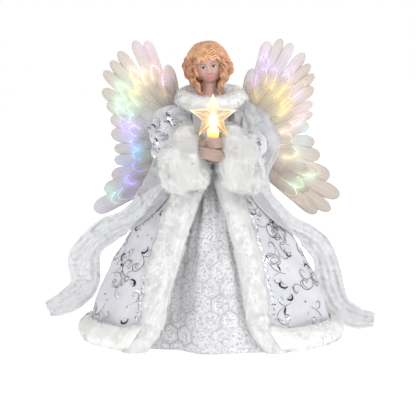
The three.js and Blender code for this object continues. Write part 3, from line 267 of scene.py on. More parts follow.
def bare_mesh(name, points, corners, sizes):
    """An object from points in millimetres, all corners of its faces in a row and each face's count."""
    mesh = bpy.data.meshes.new(name)
    mesh.vertices.add(len(points))
    mesh.vertices.foreach_set("co", (np.asarray(points) * MM).astype(np.float32).ravel())
    mesh.loops.add(len(corners))
    mesh.loops.foreach_set("vertex_index", np.asarray(corners, np.int32))
    mesh.polygons.add(len(sizes))
    mesh.polygons.foreach_set("loop_start", np.r_[0, np.cumsum(sizes)[:-1]].astype(np.int32))
    mesh.update(calc_edges=True)
    mesh.validate()
    obj = bpy.data.objects.new(name, mesh)
    bpy.context.scene.collection.objects.link(obj)
    return smooth_faces(obj)


def grid_corners(rows, columns, start=0, closed=False):
    """Corners of the squares of a grid of points laid out row by row."""
    j, i = np.meshgrid(np.arange(rows - 1), np.arange(columns if closed else columns - 1), indexing="ij")
    k = (i + 1) % columns
    a, b = j * columns + i, j * columns + k
    return np.stack([a, b, b + columns, a + columns], -1).reshape(-1, 4) + start


def tube_points(path, radii, sides, flat=1.0):
    """Rings of points along a path; flat makes the section an oval."""
    _, across, up = carried_frames(path)
    turn = np.arange(sides) / sides * TAU
    ring = across[:, None] * np.cos(turn)[None, :, None] + flat * up[:, None] * np.sin(turn)[None, :, None]
    return path[:, None] + ring * np.asarray(radii)[:, None, None]


def tubes(name, lines, sides, flat=1.0):
    """One mesh of closed tubes, each a path and its radii; every end runs out in a point."""
    points, corners, sizes = [], [], []
    start = 0
    for path, radii in lines:
        rings = tube_points(path, radii, sides, flat).reshape(-1, 3)
        points += [rings, path[:1], path[-1:]]
        quads = grid_corners(len(path), sides, start, closed=True)
        corners.append(quads.ravel())
        sizes.append(np.full(len(quads), 4))
        first, last = start + len(rings), start + len(rings) + 1
        k = np.arange(sides)
        near = np.stack([np.full(sides, first), start + (k + 1) % sides, start + k], 1)
        base = start + len(rings) - sides
        far = np.stack([np.full(sides, last), base + k, base + (k + 1) % sides], 1)
        corners += [near.ravel(), far.ravel()]
        sizes.append(np.full(2 * sides, 3))
        start += len(rings) + 2
    obj = bare_mesh(name, np.vstack(points), np.concatenate(corners), np.concatenate(sizes))
    edit(obj, face_outwards)
    return smooth_faces(obj)


def joined(name, pieces):
    """Several objects made one."""
    deselect()
    for piece in pieces:
        piece.select_set(True)
    bpy.context.view_layer.objects.active = pieces[0]
    bpy.ops.object.join()
    pieces[0].name = pieces[0].data.name = name
    return pieces[0]


def node_copy(name, node):
    """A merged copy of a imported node's mesh."""
    obj = bpy.data.objects.new(name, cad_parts[node].data.copy())
    bpy.context.scene.collection.objects.link(obj)
    obj.data.materials.clear()
    return edit(obj, weld)


def colour_points(obj, name, colours):
    """A colour stored on each point."""
    held = obj.data.color_attributes.new(name, "FLOAT_COLOR", "POINT")
    rgba = np.ones((len(obj.data.vertices), 4), np.float32)
    rgba[:, : colours.shape[1]] = colours
    held.data.foreach_set("color", rgba.ravel())
    return obj


def dressed(obj, finish, slot, body, *nodes):
    """A finished piece: its finish, the record's slot, which is not used, the body it rides and the nodes it
    stands for.
    """
    obj.data.materials.clear()
    obj.data.materials.append(finish)
    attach(obj, body)
    if nodes:
        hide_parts(*nodes)
    return obj


# Finishes


class Wire:
    """A number that runs through a finish's node tree; sums and products of wires add Math nodes."""

    def __init__(self, finish, socket):
        self.finish, self.socket = finish, socket

    def __add__(self, other):
        return self.finish.math("ADD", self, other)

    def __sub__(self, other):
        return self.finish.math("SUBTRACT", self, other)

    def __mul__(self, other):
        return self.finish.math("MULTIPLY", self, other)

    def __truediv__(self, other):
        return self.finish.math("DIVIDE", self, other)

    __radd__ = __add__
    __rmul__ = __mul__

    def __rsub__(self, other):
        return self.finish.math("SUBTRACT", other, self)

    def __abs__(self):
        return self.finish.math("ABSOLUTE", self)


class Finish:
    """The node tree of one material."""

    def __init__(self, name, **sockets):
        self.material = bpy.data.materials.new(name)
        self.material.use_nodes = True
        self.tree = self.material.node_tree
        self.shader = self.tree.nodes["Principled BSDF"]
        for socket, value in sockets.items():
            self.shader.inputs[socket.replace("_", " ").title().replace("Ior", "IOR")].default_value = value

    def node(self, kind, **settings):
        made = self.tree.nodes.new(kind)
        for key, value in settings.items():
            setattr(made, key, value)
        return made

    def feed(self, socket, value):
        if isinstance(value, Wire):
            value = value.socket
        if isinstance(value, bpy.types.NodeSocket):
            self.tree.links.new(value, socket)
        else:
            socket.default_value = value

    def math(self, operation, *values):
        made = self.node("ShaderNodeMath", operation=operation)
        for socket, value in zip(made.inputs, values):
            self.feed(socket, value)
        return Wire(self, made.outputs[0])

    def step(self, value, low, high):
        """Soft step from 0 at low to 1 at high."""
        made = self.node("ShaderNodeMapRange", interpolation_type="SMOOTHSTEP")
        self.feed(made.inputs["Value"], value)
        made.inputs["From Min"].default_value = low
        made.inputs["From Max"].default_value = high
        return Wire(self, made.outputs["Result"])

    def own_place(self):
        return self.node("ShaderNodeTexCoord").outputs["Object"]

    def cloth_place(self):
        return self.node("ShaderNodeUVMap").outputs["UV"]

    def stored(self, name, part="Color"):
        return self.node("ShaderNodeAttribute", attribute_name=name).outputs[part]

    def parts(self, vector):
        made = self.node("ShaderNodeSeparateXYZ")
        self.feed(made.inputs[0], vector)
        return [Wire(self, out) for out in made.outputs]

    def noise(self, place, size, detail=3.0, rough=0.55, twist=0.0):
        """Cloudy value from 0 to 1 with lumps of a size in metres."""
        made = self.node("ShaderNodeTexNoise")
        self.feed(made.inputs["Vector"], place)
        made.inputs["Scale"].default_value = 1 / size
        made.inputs["Detail"].default_value = detail
        made.inputs["Roughness"].default_value = rough
        made.inputs["Distortion"].default_value = twist
        return Wire(self, made.outputs["Fac"])

    def waves(self, value, size):
        """Even lines, 0 to 1, at a spacing along a value in metres."""
        return self.math("SINE", value * (TAU / size)) * 0.5 + 0.5

    def ramp(self, value, *stops):
        """Colours at stops of a value from 0 to 1."""
        made = self.node("ShaderNodeValToRGB")
        self.feed(made.inputs["Fac"], value)
        held = made.color_ramp.elements
        while len(held) < len(stops):
            held.new(0.5)
        for element, (at, colour) in zip(held, stops):
            element.position = at
            element.color = (*colour, 1)
        return made.outputs["Color"]

    def mix(self, share, first, second, blend="MIX"):
        made = self.node("ShaderNodeMix", data_type="RGBA", blend_type=blend)
        for socket, value in zip((made.inputs[0], made.inputs[6], made.inputs[7]), (share, first, second)):
            self.feed(socket, (*value, 1) if isinstance(value, tuple) and len(value) == 3 else value)
        return made.outputs[2]

    def relief(self, height, depth, strength=1.0):
        """Bump of a depth in metres, fed to the shader."""
        made = self.node("ShaderNodeBump")
        made.inputs["Distance"].default_value = depth
        made.inputs["Strength"].default_value = strength
        self.feed(made.inputs["Height"], height)
        self.feed(self.shader.inputs["Normal"], made.outputs[0])

    def give(self, **sockets):
        for socket, value in sockets.items():
            self.feed(self.shader.inputs[socket.replace("_", " ").title()], value)
        return self.material


def scaled(colour, shares):
    """A colour with each of its parts taken times a share."""
    return tuple(part * share for part, share in zip(colour, shares))


def height_share(finish, node):
    """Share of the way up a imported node, from 0 to 1."""
    low, high = node_box(node)
    return (finish.parts(finish.own_place())[2] - low[2] * MM) / ((high[2] - low[2]) * MM)


def weave_of(finish, place, size):
    """Height of a plain weave with a thread spacing in metres."""
    u, v, _ = finish.parts(place)
    return finish.waves(u + v * 0.02, size) * finish.waves(v, size)


def fur_finish(settings):
    """Long soft plush, brighter on its lumps; a hair's stored tone is painted shade, which takes it towards
    the darker colour.
    """
    fur = Finish("plush_fur", roughness=0.95, sheen_weight=0.35, sheen_roughness=0.6, specular_ior_level=0.15)
    place = fur.own_place()
    tufts = fur.noise(place, 0.009, 4.0)
    bright = tuple(settings.fur_colour)
    shade = scaled(bright, (0.87, 0.875, 0.885))
    colour = fur.mix(fur.step(tufts, 0.3, 0.62) * 0.16 + 0.84, shade, bright)
    return fur.give(base_color=fur.mix(fur.stored("tone", "Fac"), colour, shade))


def brocade_finish(settings):
    """Woven hexagon brocade: raised white medallions, grey outlines, small sprigs in the middle."""
    cloth = Finish("gown_brocade", roughness=0.55, sheen_weight=0.25, sheen_roughness=0.4)
    place = cloth.cloth_place()
    u, v, _ = cloth.parts(place)
    wide, tall = settings.medallion_width, settings.medallion_height
    p, q = u / wide, v / tall

    def cell(shift):
        x = cloth.math("FRACT", p + shift) - 0.5
        y = cloth.math("FRACT", q / 1.5 + shift) * 1.5 - 0.75
        return x, y

    def edge_distance(x, y):
        return cloth.math("MAXIMUM", abs(x), abs(x) * 0.5 + abs(y))

    (xa, ya), (xb, yb) = cell(0.0), cell(0.5)
    da, db = edge_distance(xa, ya), edge_distance(xb, yb)
    nearer = cloth.math("LESS_THAN", da, db)
    x = xb + (xa - xb) * nearer
    y = yb + (ya - yb) * nearer
    rim = cloth.math("MINIMUM", da, db)
    worn = cloth.noise(place, 0.0035, 2.0)
    outline = cloth.step(rim + worn * 0.06, 0.45, 0.485)
    inner_line = cloth.step(abs(rim + worn * 0.04 - 0.38), 0.03, 0.012)
    turn = cloth.math("ARCTAN2", x, y)
    reach = cloth.math("SQRT", x * x + y * y * 1.4)
    petals = cloth.math("SINE", turn * 6.0) * 0.05 + 0.16
    sprig = cloth.step(abs(reach - petals), 0.035, 0.012)
    dots = cloth.step(cloth.noise(place, 0.0016, 1.0), 0.6, 0.68) * cloth.step(reach, 0.31, 0.2)
    dark = cloth.math("MAXIMUM", outline * 0.62, inner_line * 0.34)
    dark = cloth.math("MAXIMUM", dark, cloth.math("MAXIMUM", sprig * 0.5, dots * 0.75))
    threads = weave_of(cloth, place, 0.0009)
    patches = cloth.noise(place, 0.03, 3.0)
    lace = cloth.noise(place, 0.0026, 3.0, 0.7)
    upper = cloth.step(cloth.parts(cloth.own_place())[2], 0.06, 0.12)
    dark = dark * (cloth.step(cloth.noise(place, 0.035, 1.0), 0.36, 0.66) * 0.75 + 0.3) * (1 - upper * 0.5)
    dark = cloth.math("MAXIMUM", dark, cloth.step(lace, 0.5, 0.62) * (upper * 0.12 + 0.6))
    light = cloth.mix(cloth.step(patches, 0.35, 0.7), (0.66, 0.665, 0.68), (0.79, 0.79, 0.805))
    colour = cloth.mix(dark, light, tuple(settings.brocade_outline))
    # The stored tone lays painted shade and painted light over the brocade.
    colour = cloth.mix(1.0, colour, cloth.stored("tone"), "MULTIPLY")
    cloth.relief(1 - dark + threads * 0.25, 0.0007, 0.8)
    return cloth.give(base_color=colour, roughness=0.42 + dark * 0.25)


def coat_finish(settings, name="coat_taffeta", crinkle=0.0):
    """Silvery lavender taffeta: fine weave, a slow change of tone and as much crinkle as is asked for, with
    painted shade in the crinkles' hollows.
    """
    cloth = Finish(name, sheen_weight=0.3, sheen_roughness=0.35, metallic=0.12)
    place = cloth.cloth_place()
    slow = cloth.noise(place, 0.05, 3.0)
    base = tuple(settings.coat_colour)
    deep = scaled(base, (0.86, 0.865, 0.885))
    threads = weave_of(cloth, place, 0.0007)
    colour = cloth.mix(cloth.step(slow, 0.3, 0.7), deep, base)
    specks = cloth.step(cloth.noise(place, 0.0011, 1.0), 0.66, 0.74)
    colour = cloth.mix(specks * 0.5, colour, (0.95, 0.95, 0.97))
    folds = cloth.noise(place, 0.0075, 3.0, twist=0.8)
    # Painted shade in the hollows of the crinkles, as strong as the crinkle asked for.
    colour = cloth.mix(cloth.step(folds, 0.5, 0.34) * (crinkle * 0.045), colour, (0.3, 0.3, 0.33))
    cloth.relief(threads + cloth.noise(place, 0.006, 3.0) * 1.5 + folds * crinkle, 0.00035, 0.6)
    return cloth.give(base_color=colour, roughness=0.5 - specks * 0.25)


def foil_finish(name, dark, bright):
    """Stamped silver foil with painted reflections: soft patches between a dark and a bright tone stand in
    for what it mirrors.
    """
    foil = Finish(name, metallic=1.0, roughness=0.26)
    place = foil.own_place()
    tone = foil.noise(place, 0.007, 2.0, twist=0.6)
    colour = foil.mix(foil.step(tone, 0.35, 0.62), (dark, dark, dark * 1.06), (bright, bright, bright * 1.02))
    foil.relief(foil.noise(place, 0.004, 2.0), 0.0006, 0.8)
    return foil.give(base_color=colour)


def sheer_finish(settings):
    """Sheer crinkled ribbon with a close mesh and faint woven swirls, with painted light on the crinkles'
    tops and painted shade in their hollows.
    """
    cloth = Finish("sheer_ribbon", roughness=0.5, sheen_weight=0.3, sheen_roughness=0.4)
    place = cloth.cloth_place()
    swirl = cloth.noise(place, 0.03, 0.0, twist=1.6)
    lines = cloth.step(abs(cloth.math("FRACT", swirl * 9.0) - 0.5), 0.09, 0.03)
    threads = weave_of(cloth, place, 0.0008)
    hem = cloth.stored("hem")
    base = tuple(settings.sheer_colour)
    crinkle = cloth.noise(place, 0.006, 3.0, 0.6, 0.8)
    # Painted light on the tops of the crinkles and painted shade in their hollows.
    colour = cloth.mix(cloth.step(crinkle, 0.45, 0.7) * 0.3, base, (0.86, 0.865, 0.88))
    colour = cloth.mix(cloth.step(crinkle, 0.45, 0.28) * 0.4 + lines * 0.3, colour, (0.34, 0.345, 0.36))
    colour = cloth.mix(hem, colour, (0.88, 0.88, 0.9))
    cloth.relief(threads * 0.3 + lines * 0.5 + crinkle * 3.0, 0.0005, 0.8)
    cover = lines * 0.18 + settings.sheer_cover
    return cloth.give(base_color=colour, alpha=cloth.math("MINIMUM", cover, 0.97))


def feather_finish():
    """Frosted film feather: fine ribs along it, lit from behind by the fibres in soft colours."""
    film = Finish("lit_feather_film", roughness=0.45, specular_ior_level=0.4)
    place = film.cloth_place()
    u = film.parts(place)[0]
    ribs = film.waves(u + film.noise(place, 0.02, 2.0) * 0.0012, 0.0016)
    quill = film.step(abs(u), 0.0011, 0.0003)
    tint = film.stored("tint")
    glow = film.stored("glow")
    colour = film.mix(ribs * 0.1 + quill * 0.16, tint, (0.9, 0.88, 0.86))
    film.relief(ribs * 0.6 + quill, 0.0004, 0.7)
    return film.give(base_color=colour, emission_color=glow, emission_strength=ribs * 0.25 + 0.86,
                     alpha=film.stored("tint", "Alpha"))


def fibre_finish():
    """Light running out of fibre ends and the nicks along them."""
    glow = Finish("lit_fibre", roughness=0.3)
    colour = glow.stored("glow")
    place = glow.own_place()
    flicker = glow.step(glow.noise(place, 0.004, 2.0), 0.25, 0.7)
    return glow.give(base_color=colour, emission_color=colour, emission_strength=flicker * 0.9 + 0.45)


def painted_finish(name, roughness, shine):
    """Moulded and hand-painted resin; its colours are stored on the mesh."""
    paint = Finish(name, roughness=roughness, coat_weight=shine, coat_roughness=0.35)
    place = paint.own_place()
    mottle = paint.noise(place, 0.006, 3.0)
    colour = paint.mix(paint.step(mottle, 0.3, 0.75) * 0.08, paint.stored("paint"), (0.85, 0.66, 0.62))
    paint.relief(paint.noise(place, 0.0011, 2.0), 0.00012, 0.5)
    return paint.give(base_color=colour)


def hair_finish(settings):
    """Moulded resin hair, painted ginger; its stored colour carries painted shade in the grooves and on the
    lower side locks.
    """
    paint = Finish("painted_hair", roughness=0.42, coat_weight=0.15, coat_roughness=0.3)
    place = paint.own_place()
    paint_and_shade = paint.stored("paint")
    streak = paint.noise(place, 0.0035, 3.0)
    colour = paint.mix(paint.step(streak, 0.35, 0.7) * 0.35, paint_and_shade, tuple(settings.hair_light))
    paint.relief(streak, 0.00035, 0.7)
    return paint.give(base_color=colour)


def star_finish():
    """Clear moulded acrylic: amber where it is thick, with painted highlights along its edges and a painted
    glow of the bulb in it.
    """
    clear = Finish("clear_acrylic", roughness=0.08, coat_weight=0.6, coat_roughness=0.05)
    place = clear.own_place()
    streak = clear.noise(place, 0.004, 2.0)
    colour = clear.mix(streak * 0.25, clear.stored("tint"), (1.0, 0.95, 0.8))
    clear.relief(streak, 0.0003, 0.5)
    return clear.give(base_color=colour, emission_color=clear.stored("glow"),
                      emission_strength=streak * 0.5 + 0.75, alpha=clear.stored("tint", "Alpha"))


def bulb_finish():
    """Flame bulb, whitest in its middle."""
    glass = Finish("lit_bulb", roughness=0.2)
    share = height_share(glass, "bulb_glass")
    colour = glass.ramp(share, (0.0, (1.0, 0.62, 0.18)), (0.35, (1.0, 0.9, 0.6)), (1.0, (1.0, 0.85, 0.45)))
    return glass.give(base_color=colour, emission_color=colour, emission_strength=share * 2.0 + 2.5)


def bulb_base_finish():
    """Amber plastic cup that the light shines through."""
    cup = Finish("amber_cup", roughness=0.3)
    share = height_share(cup, "bulb_base")
    grain = cup.noise(cup.own_place(), 0.003, 2.0)
    colour = cup.ramp(share + grain * 0.1,
                      (0.4, (0.62, 0.33, 0.08)), (0.75, (0.95, 0.62, 0.2)), (1.0, (1.0, 0.85, 0.45)))
    return cup.give(base_color=colour, emission_color=colour, emission_strength=share * 0.9)


def plain_finish(name, colour, rough, grain=0.002, metal=0.0, other=None):
    """Moulded or turned stock with a grain, a slight change of tone and a change of gloss."""
    stock = Finish(name, metallic=metal)
    place = stock.own_place()
    slow = stock.noise(place, grain * 12, 3.0)
    fine = stock.noise(place, grain, 2.0)
    second = other or tuple(c * 0.86 for c in colour)
    stock.relief(fine, grain * 0.08, 0.6)
    tone = stock.mix(stock.step(slow, 0.3, 0.7), second, colour)
    return stock.give(base_color=tone, roughness=fine * 0.16 + (rough - 0.08))


# Settings


class ANGEL_PG_stage(bpy.types.PropertyGroup):
    """Camera and light."""

    camera_distance: bpy.props.FloatProperty(
        name="Camera distance", description="From the figure's axis", default=1.4, unit="LENGTH")
    camera_elevation: bpy.props.FloatProperty(
        name="Camera elevation", description="Above the horizon", default=math.radians(6), subtype="ANGLE")
    look_height: bpy.props.FloatProperty(
        name="Look height", description="Height in the middle of the picture", default=0.134, unit="LENGTH")
    lens: bpy.props.FloatProperty(name="Lens", description="Focal length in millimetres", default=118.6)
    shift: bpy.props.FloatProperty(name="Shift", description="Sideways shift of the picture", default=-0.0072)
    key_power: bpy.props.FloatProperty(name="Key light", description="Watts of the key light", default=11.2)
    fill_power: bpy.props.FloatProperty(name="Fill light", description="Watts of the fill light", default=4.0)
    ambient: bpy.props.FloatProperty(
        name="Ambient", description="Strength of the light all round", default=0.6)


class ANGEL_PG_garments(bpy.types.PropertyGroup):
    """Gown, coat, sleeves and stole."""

    medallion_width: bpy.props.FloatProperty(
        name="Medallion width", description="Width of a brocade hexagon", default=0.0165, unit="LENGTH")
    medallion_height: bpy.props.FloatProperty(
        name="Medallion height", description="Height of a brocade hexagon", default=0.021, unit="LENGTH")
    cloth: bpy.props.FloatProperty(
        name="Cloth", description="Thickness of gown and coat", default=0.0009, unit="LENGTH")
    ribbon: bpy.props.FloatProperty(
        name="Ribbon", description="Thickness of the sheer ribbon", default=0.00035, unit="LENGTH")
    sheer_cover: bpy.props.FloatProperty(
        name="Sheer cover", description="How much the ribbon hides", default=0.6, subtype="FACTOR")
    brocade_outline: bpy.props.FloatVectorProperty(
        name="Brocade outline", description="Grey of the woven outlines",
        default=(0.25, 0.255, 0.27), subtype="COLOR")
    coat_colour: bpy.props.FloatVectorProperty(
        name="Coat", description="Silvery lavender of the coat",
        default=(0.735, 0.735, 0.775), subtype="COLOR")
    sheer_colour: bpy.props.FloatVectorProperty(
        name="Sheer", description="Grey-white of the ribbon", default=(0.635, 0.64, 0.66), subtype="COLOR")


class ANGEL_PG_fur(bpy.types.PropertyGroup):
    """Plush trims."""

    fur_colour: bpy.props.FloatVectorProperty(
        name="Fur", description="Off-white of the plush", default=(0.9, 0.897, 0.888), subtype="COLOR")
    pile: bpy.props.FloatProperty(
        name="Pile", description="Length of the hairs", default=0.0032, unit="LENGTH")
    density: bpy.props.FloatProperty(
        name="Density", description="Hairs on a square millimetre", default=1.25)


class ANGEL_PG_head(bpy.types.PropertyGroup):
    """Head, hair and hands."""

    skin: bpy.props.FloatVectorProperty(
        name="Skin", description="Painted skin", default=(0.465, 0.276, 0.236), subtype="COLOR")
    lips: bpy.props.FloatVectorProperty(
        name="Lips", description="Painted lips", default=(0.66, 0.21, 0.24), subtype="COLOR")
    hair: bpy.props.FloatVectorProperty(
        name="Hair", description="Ginger of the hair", default=(0.6, 0.305, 0.16), subtype="COLOR")
    hair_light: bpy.props.FloatVectorProperty(
        name="Hair light", description="Light strands", default=(0.84, 0.54, 0.345), subtype="COLOR")


class ANGEL_PG_wings(bpy.types.PropertyGroup):
    """Feathers and light fibres."""

    glow: bpy.props.FloatProperty(name="Glow", description="Brightness of the lit film", default=0.112)
    film_colour: bpy.props.FloatVectorProperty(
        name="Film", description="Unlit film", default=(0.6, 0.52, 0.45), subtype="COLOR")
    fibre_radius: bpy.props.FloatProperty(
        name="Fibre radius", description="Radius of a light fibre", default=0.00042, unit="LENGTH")


# Places of the garments, in millimetres

WAIST = 176.0
COAT_HEM = (122.0, 90.0, 81.0)  # half width, and depth in front and behind
COAT_WAIST = (28.0, 23.5)  # half width and half depth
COAT_FLARE = 1.8
GOWN_HEM = (98.0, 84.0, 70.0)
GOWN_WAIST = (25.6, 21.1)
GOWN_FLARE = 1.6
FOLDS = 9
FUR_WIDE, FUR_THICK, FUR_EDGE = 27.0, 11.0, 2.5
FUR_FOOT = 0.8
STRIP_EDGE = 0.97  # share of a strip's half width that its section reaches
SLEEVE_ROUND, SLEEVE_LONG = 95.0, 75.0
LAMP = np.array([2.0, -70.0])
HEAD_AT = np.array([-3.4, -2.0, 281.8])
HINGE = np.array([16.0, 26.7, 209.8])


def bell(turn, z, hem, waist, flare, folds, depth, phase):
    """Bell-shaped skirt; turn runs from straight ahead to the right."""
    share = np.clip(z / WAIST, 0, 1) ** flare
    ahead = np.where(np.cos(turn) > 0, hem[1], hem[2])
    wide = hem[0] + (waist[0] - hem[0]) * share
    deep = ahead + (waist[1] - ahead) * share
    swell = 1 + depth * (1 - share) * np.cos(folds * turn + phase)
    return np.stack([wide * swell * np.sin(turn), -deep * swell * np.cos(turn), z], -1)


def coat_at(turn, z):
    """The coat's outside with its soft folds and small dents."""
    base = bell(turn, z, COAT_HEM, COAT_WAIST, COAT_FLARE, FOLDS, 0.028, 0.6)
    dent = 0.72 * ripple(base, 34.0, 11) + 0.28 * ripple(base, 13.0, 12)
    return base + (dent - 0.3)[..., None] * outwards(base)


def gown_at(turn, z):
    """The gown's outside: broad folds that gather towards the waist."""
    base = bell(turn, z, GOWN_HEM, GOWN_WAIST, GOWN_FLARE, FOLDS, 0.035, 0.4)
    share = np.clip(z / WAIST, 0, 1)
    pleat = 1.4 * share * np.sin(26 * turn + 2 * np.sin(3 * turn)) * (1 - smooth(0.86, 1.0, share))
    ahead = (turn + math.pi) % TAU - math.pi
    middle_fold = 1.5 * bump(ahead, 0, (0.1, 0), 0.14)
    right_fold = 4.0 * smooth(0.12, 0.36, ahead) * smooth(0.9, 0.5, ahead)
    left_hollow = 8.5 * smooth(-0.1, -0.42, ahead) * smooth(-1.2, -0.6, ahead)
    pleat = pleat + (middle_fold + right_fold - left_hollow) * (1 - share) ** 0.4
    dent = 0.9 * ripple(base, 38.0, 21) + pleat
    return base + (dent - 0.4)[..., None] * outwards(base)


def front_edge(side, z):
    """Angle of the coat's front edge."""
    low = np.maximum(0, 1 - z / 40.0)
    return side * np.radians((29.0 if side < 0 else 23.0) + 9.0 * low * low)


def way_out(surface, turn, z):
    """Direction out of a skirt's surface."""
    du = surface(turn + 2e-3, z) - surface(turn - 2e-3, z)
    dv = surface(turn, z + 0.1) - surface(turn, z - 0.1)
    return unit(np.cross(du, dv))


def round_speed(turn, z):
    """Millimetres round the coat for each radian of turn."""
    return np.linalg.norm(coat_at(turn + 5e-3, z) - coat_at(turn - 5e-3, z), axis=-1) / 1e-2


def beside_edge(side, z, distance):
    """Angle at a distance round the coat from one of its front edges."""
    edge = front_edge(side, z)
    return edge + side * distance / round_speed(edge, z)


def coat_span(u, z):
    """Angle at a share of the way round the coat, from its right front edge to its left one."""
    start, end = front_edge(1, z), front_edge(-1, z) + TAU
    return start + (end - start) * u


# Foil ornament

# Name, dark tone and bright tone of each kind of stroke; the tones are painted reflections on the silver
# foil, the bright strokes painted glints
FOIL_TONES = (("fine_foil", 0.2, 0.62), ("painted_dark_reflection_foil", 0.02, 0.12), ("painted_glint_foil", 0.8, 1.0))


def curl(start, heading, length, turns, hand, thick, ease=1.7):
    """Line that rolls up into a spiral, as places and widths."""
    s = np.linspace(0, 1, 26)
    angle = heading + hand * turns * TAU * s**ease
    pace = 1 - 0.72 * s
    pace = pace / pace.sum() * length
    line = start + np.cumsum(np.stack([np.cos(angle), np.sin(angle)], 1) * pace[:, None], 0)
    return line, thick * (0.3 + 0.7 * np.sin(np.pi * np.clip(s * 0.9 + 0.08, 0, 1)))


def leaf(start, heading, length, thick):
    """Short swelling stroke."""
    s = np.linspace(0, 1, 8)
    angle = heading + 0.9 * (s - 0.5)
    line = start + np.cumsum(np.stack([np.cos(angle), np.sin(angle)], 1) * length / 8, 0)
    return line, thick * np.sin(np.pi * np.clip(s, 0.04, 0.96))


def sprig(rng, at, heading, size, weight):
    """A scroll with side curls, leaves and dots, laid flat: fine, dark and bright strokes; the dark ones are
    painted dark reflections and the bright ones painted glints.
    """
    fine, dark, bright = [], [], []
    hand = rng.choice([-1, 1])
    stem = curl(at, heading, 44 * size, 1.15, hand, 0.95, 1.5)
    fine.append(stem)
    for share, flip in ((0.1, -1), (0.34, 1), (0.55, -1)):
        k = int(share * 25)
        way = np.arctan2(*(stem[0][k + 1] - stem[0][k])[::-1])
        length = rng.uniform(16, 27) * size
        side_curl = curl(stem[0][k], way + flip * hand * 0.5, length, 0.95, flip * hand, 0.85, 1.3)
        fine.append(side_curl)
        glint = side_curl[0][6:16] + rng.normal(size=2) * 0.3 + 0.8
        bright.append((glint, 1.5 * weight * np.sin(np.pi * np.linspace(0.04, 0.96, 10))))
        if rng.uniform() < 0.4:
            kept = dark if rng.uniform() < 0.4 else bright
            length, thick = rng.uniform(5, 9) * size, rng.uniform(1.0, 2.0) * weight
            kept.append(leaf(stem[0][k], way - flip * hand * 0.9, length, thick))
    if rng.uniform() < 0.7:
        spot, way = at + rng.normal(size=2) * 8 * size, rng.uniform(0, TAU)
        dark.append(curl(spot, way, 12 * size, 0.6, hand, 1.7 * weight, 1.2))
        beside = spot + np.array([math.cos(way + hand), math.sin(way + hand)]) * 2.2
        bright.append(leaf(beside, way + hand, 5.0 * weight, 2.4 * weight))
    for _ in range(4):
        kept = dark if rng.uniform() < 0.3 else bright
        spot = at + rng.normal(size=2) * 12 * size
        way = rng.uniform(0, TAU)
        length, thick = rng.uniform(1.5, 3.5) * weight, rng.uniform(0.7, 1.3) * weight
        kept.append(leaf(spot, way, length, thick))
    return fine, dark, bright


def foil_strips(name, strokes, place):
    """Flat strips of foil; place puts cloth coordinates on the cloth, just proud of it."""
    points, corners, start = [], [], 0
    for line, width in strokes:
        across = unit(np.gradient(line, axis=0))[:, ::-1] * np.array([-1.0, 1.0])
        left, right = line - across * width[:, None] / 2, line + across * width[:, None] / 2
        rows = np.stack([place(left), place((left + right) / 2), place(right)], 1)
        points.append(rows.reshape(-1, 3))
        corners.append(grid_corners(len(line), 3, start))
        start += rows.shape[0] * 3
    quads = np.vstack(corners)
    return bare_mesh(name, np.vstack(points), quads.ravel(), np.full(len(quads), 4))


# Fur


class Pile(NamedTuple):
    """How the hairs of a trim lie: their droop, length and crowding beside the settings, and the range of
    painted shade on them.
    """

    droop: float
    length: float
    painted_shade: tuple
    crowd: float


# The shade ranges are painted shade: high on the front furs to darken them, low on the hem, collar and cuffs
# to keep them light.
PILES = {
    "hem_fur": Pile(0.45, 1.0, (-0.9, 0.2), 1.05),
    "collar": Pile(0.25, 0.9, (-0.9, 0.3), 1.3),
    "front_fur": Pile(0.5, 0.9, (0.9, 2.1), 1.5),
    "cuff": Pile(0.4, 1.8, (-0.9, 0.3), 1.8),
}
TUFT = 18  # hairs to a tuft
LONG_HAIRS = 0.07  # share of the hairs that stand out
LOWEST_HAIR = 0.3


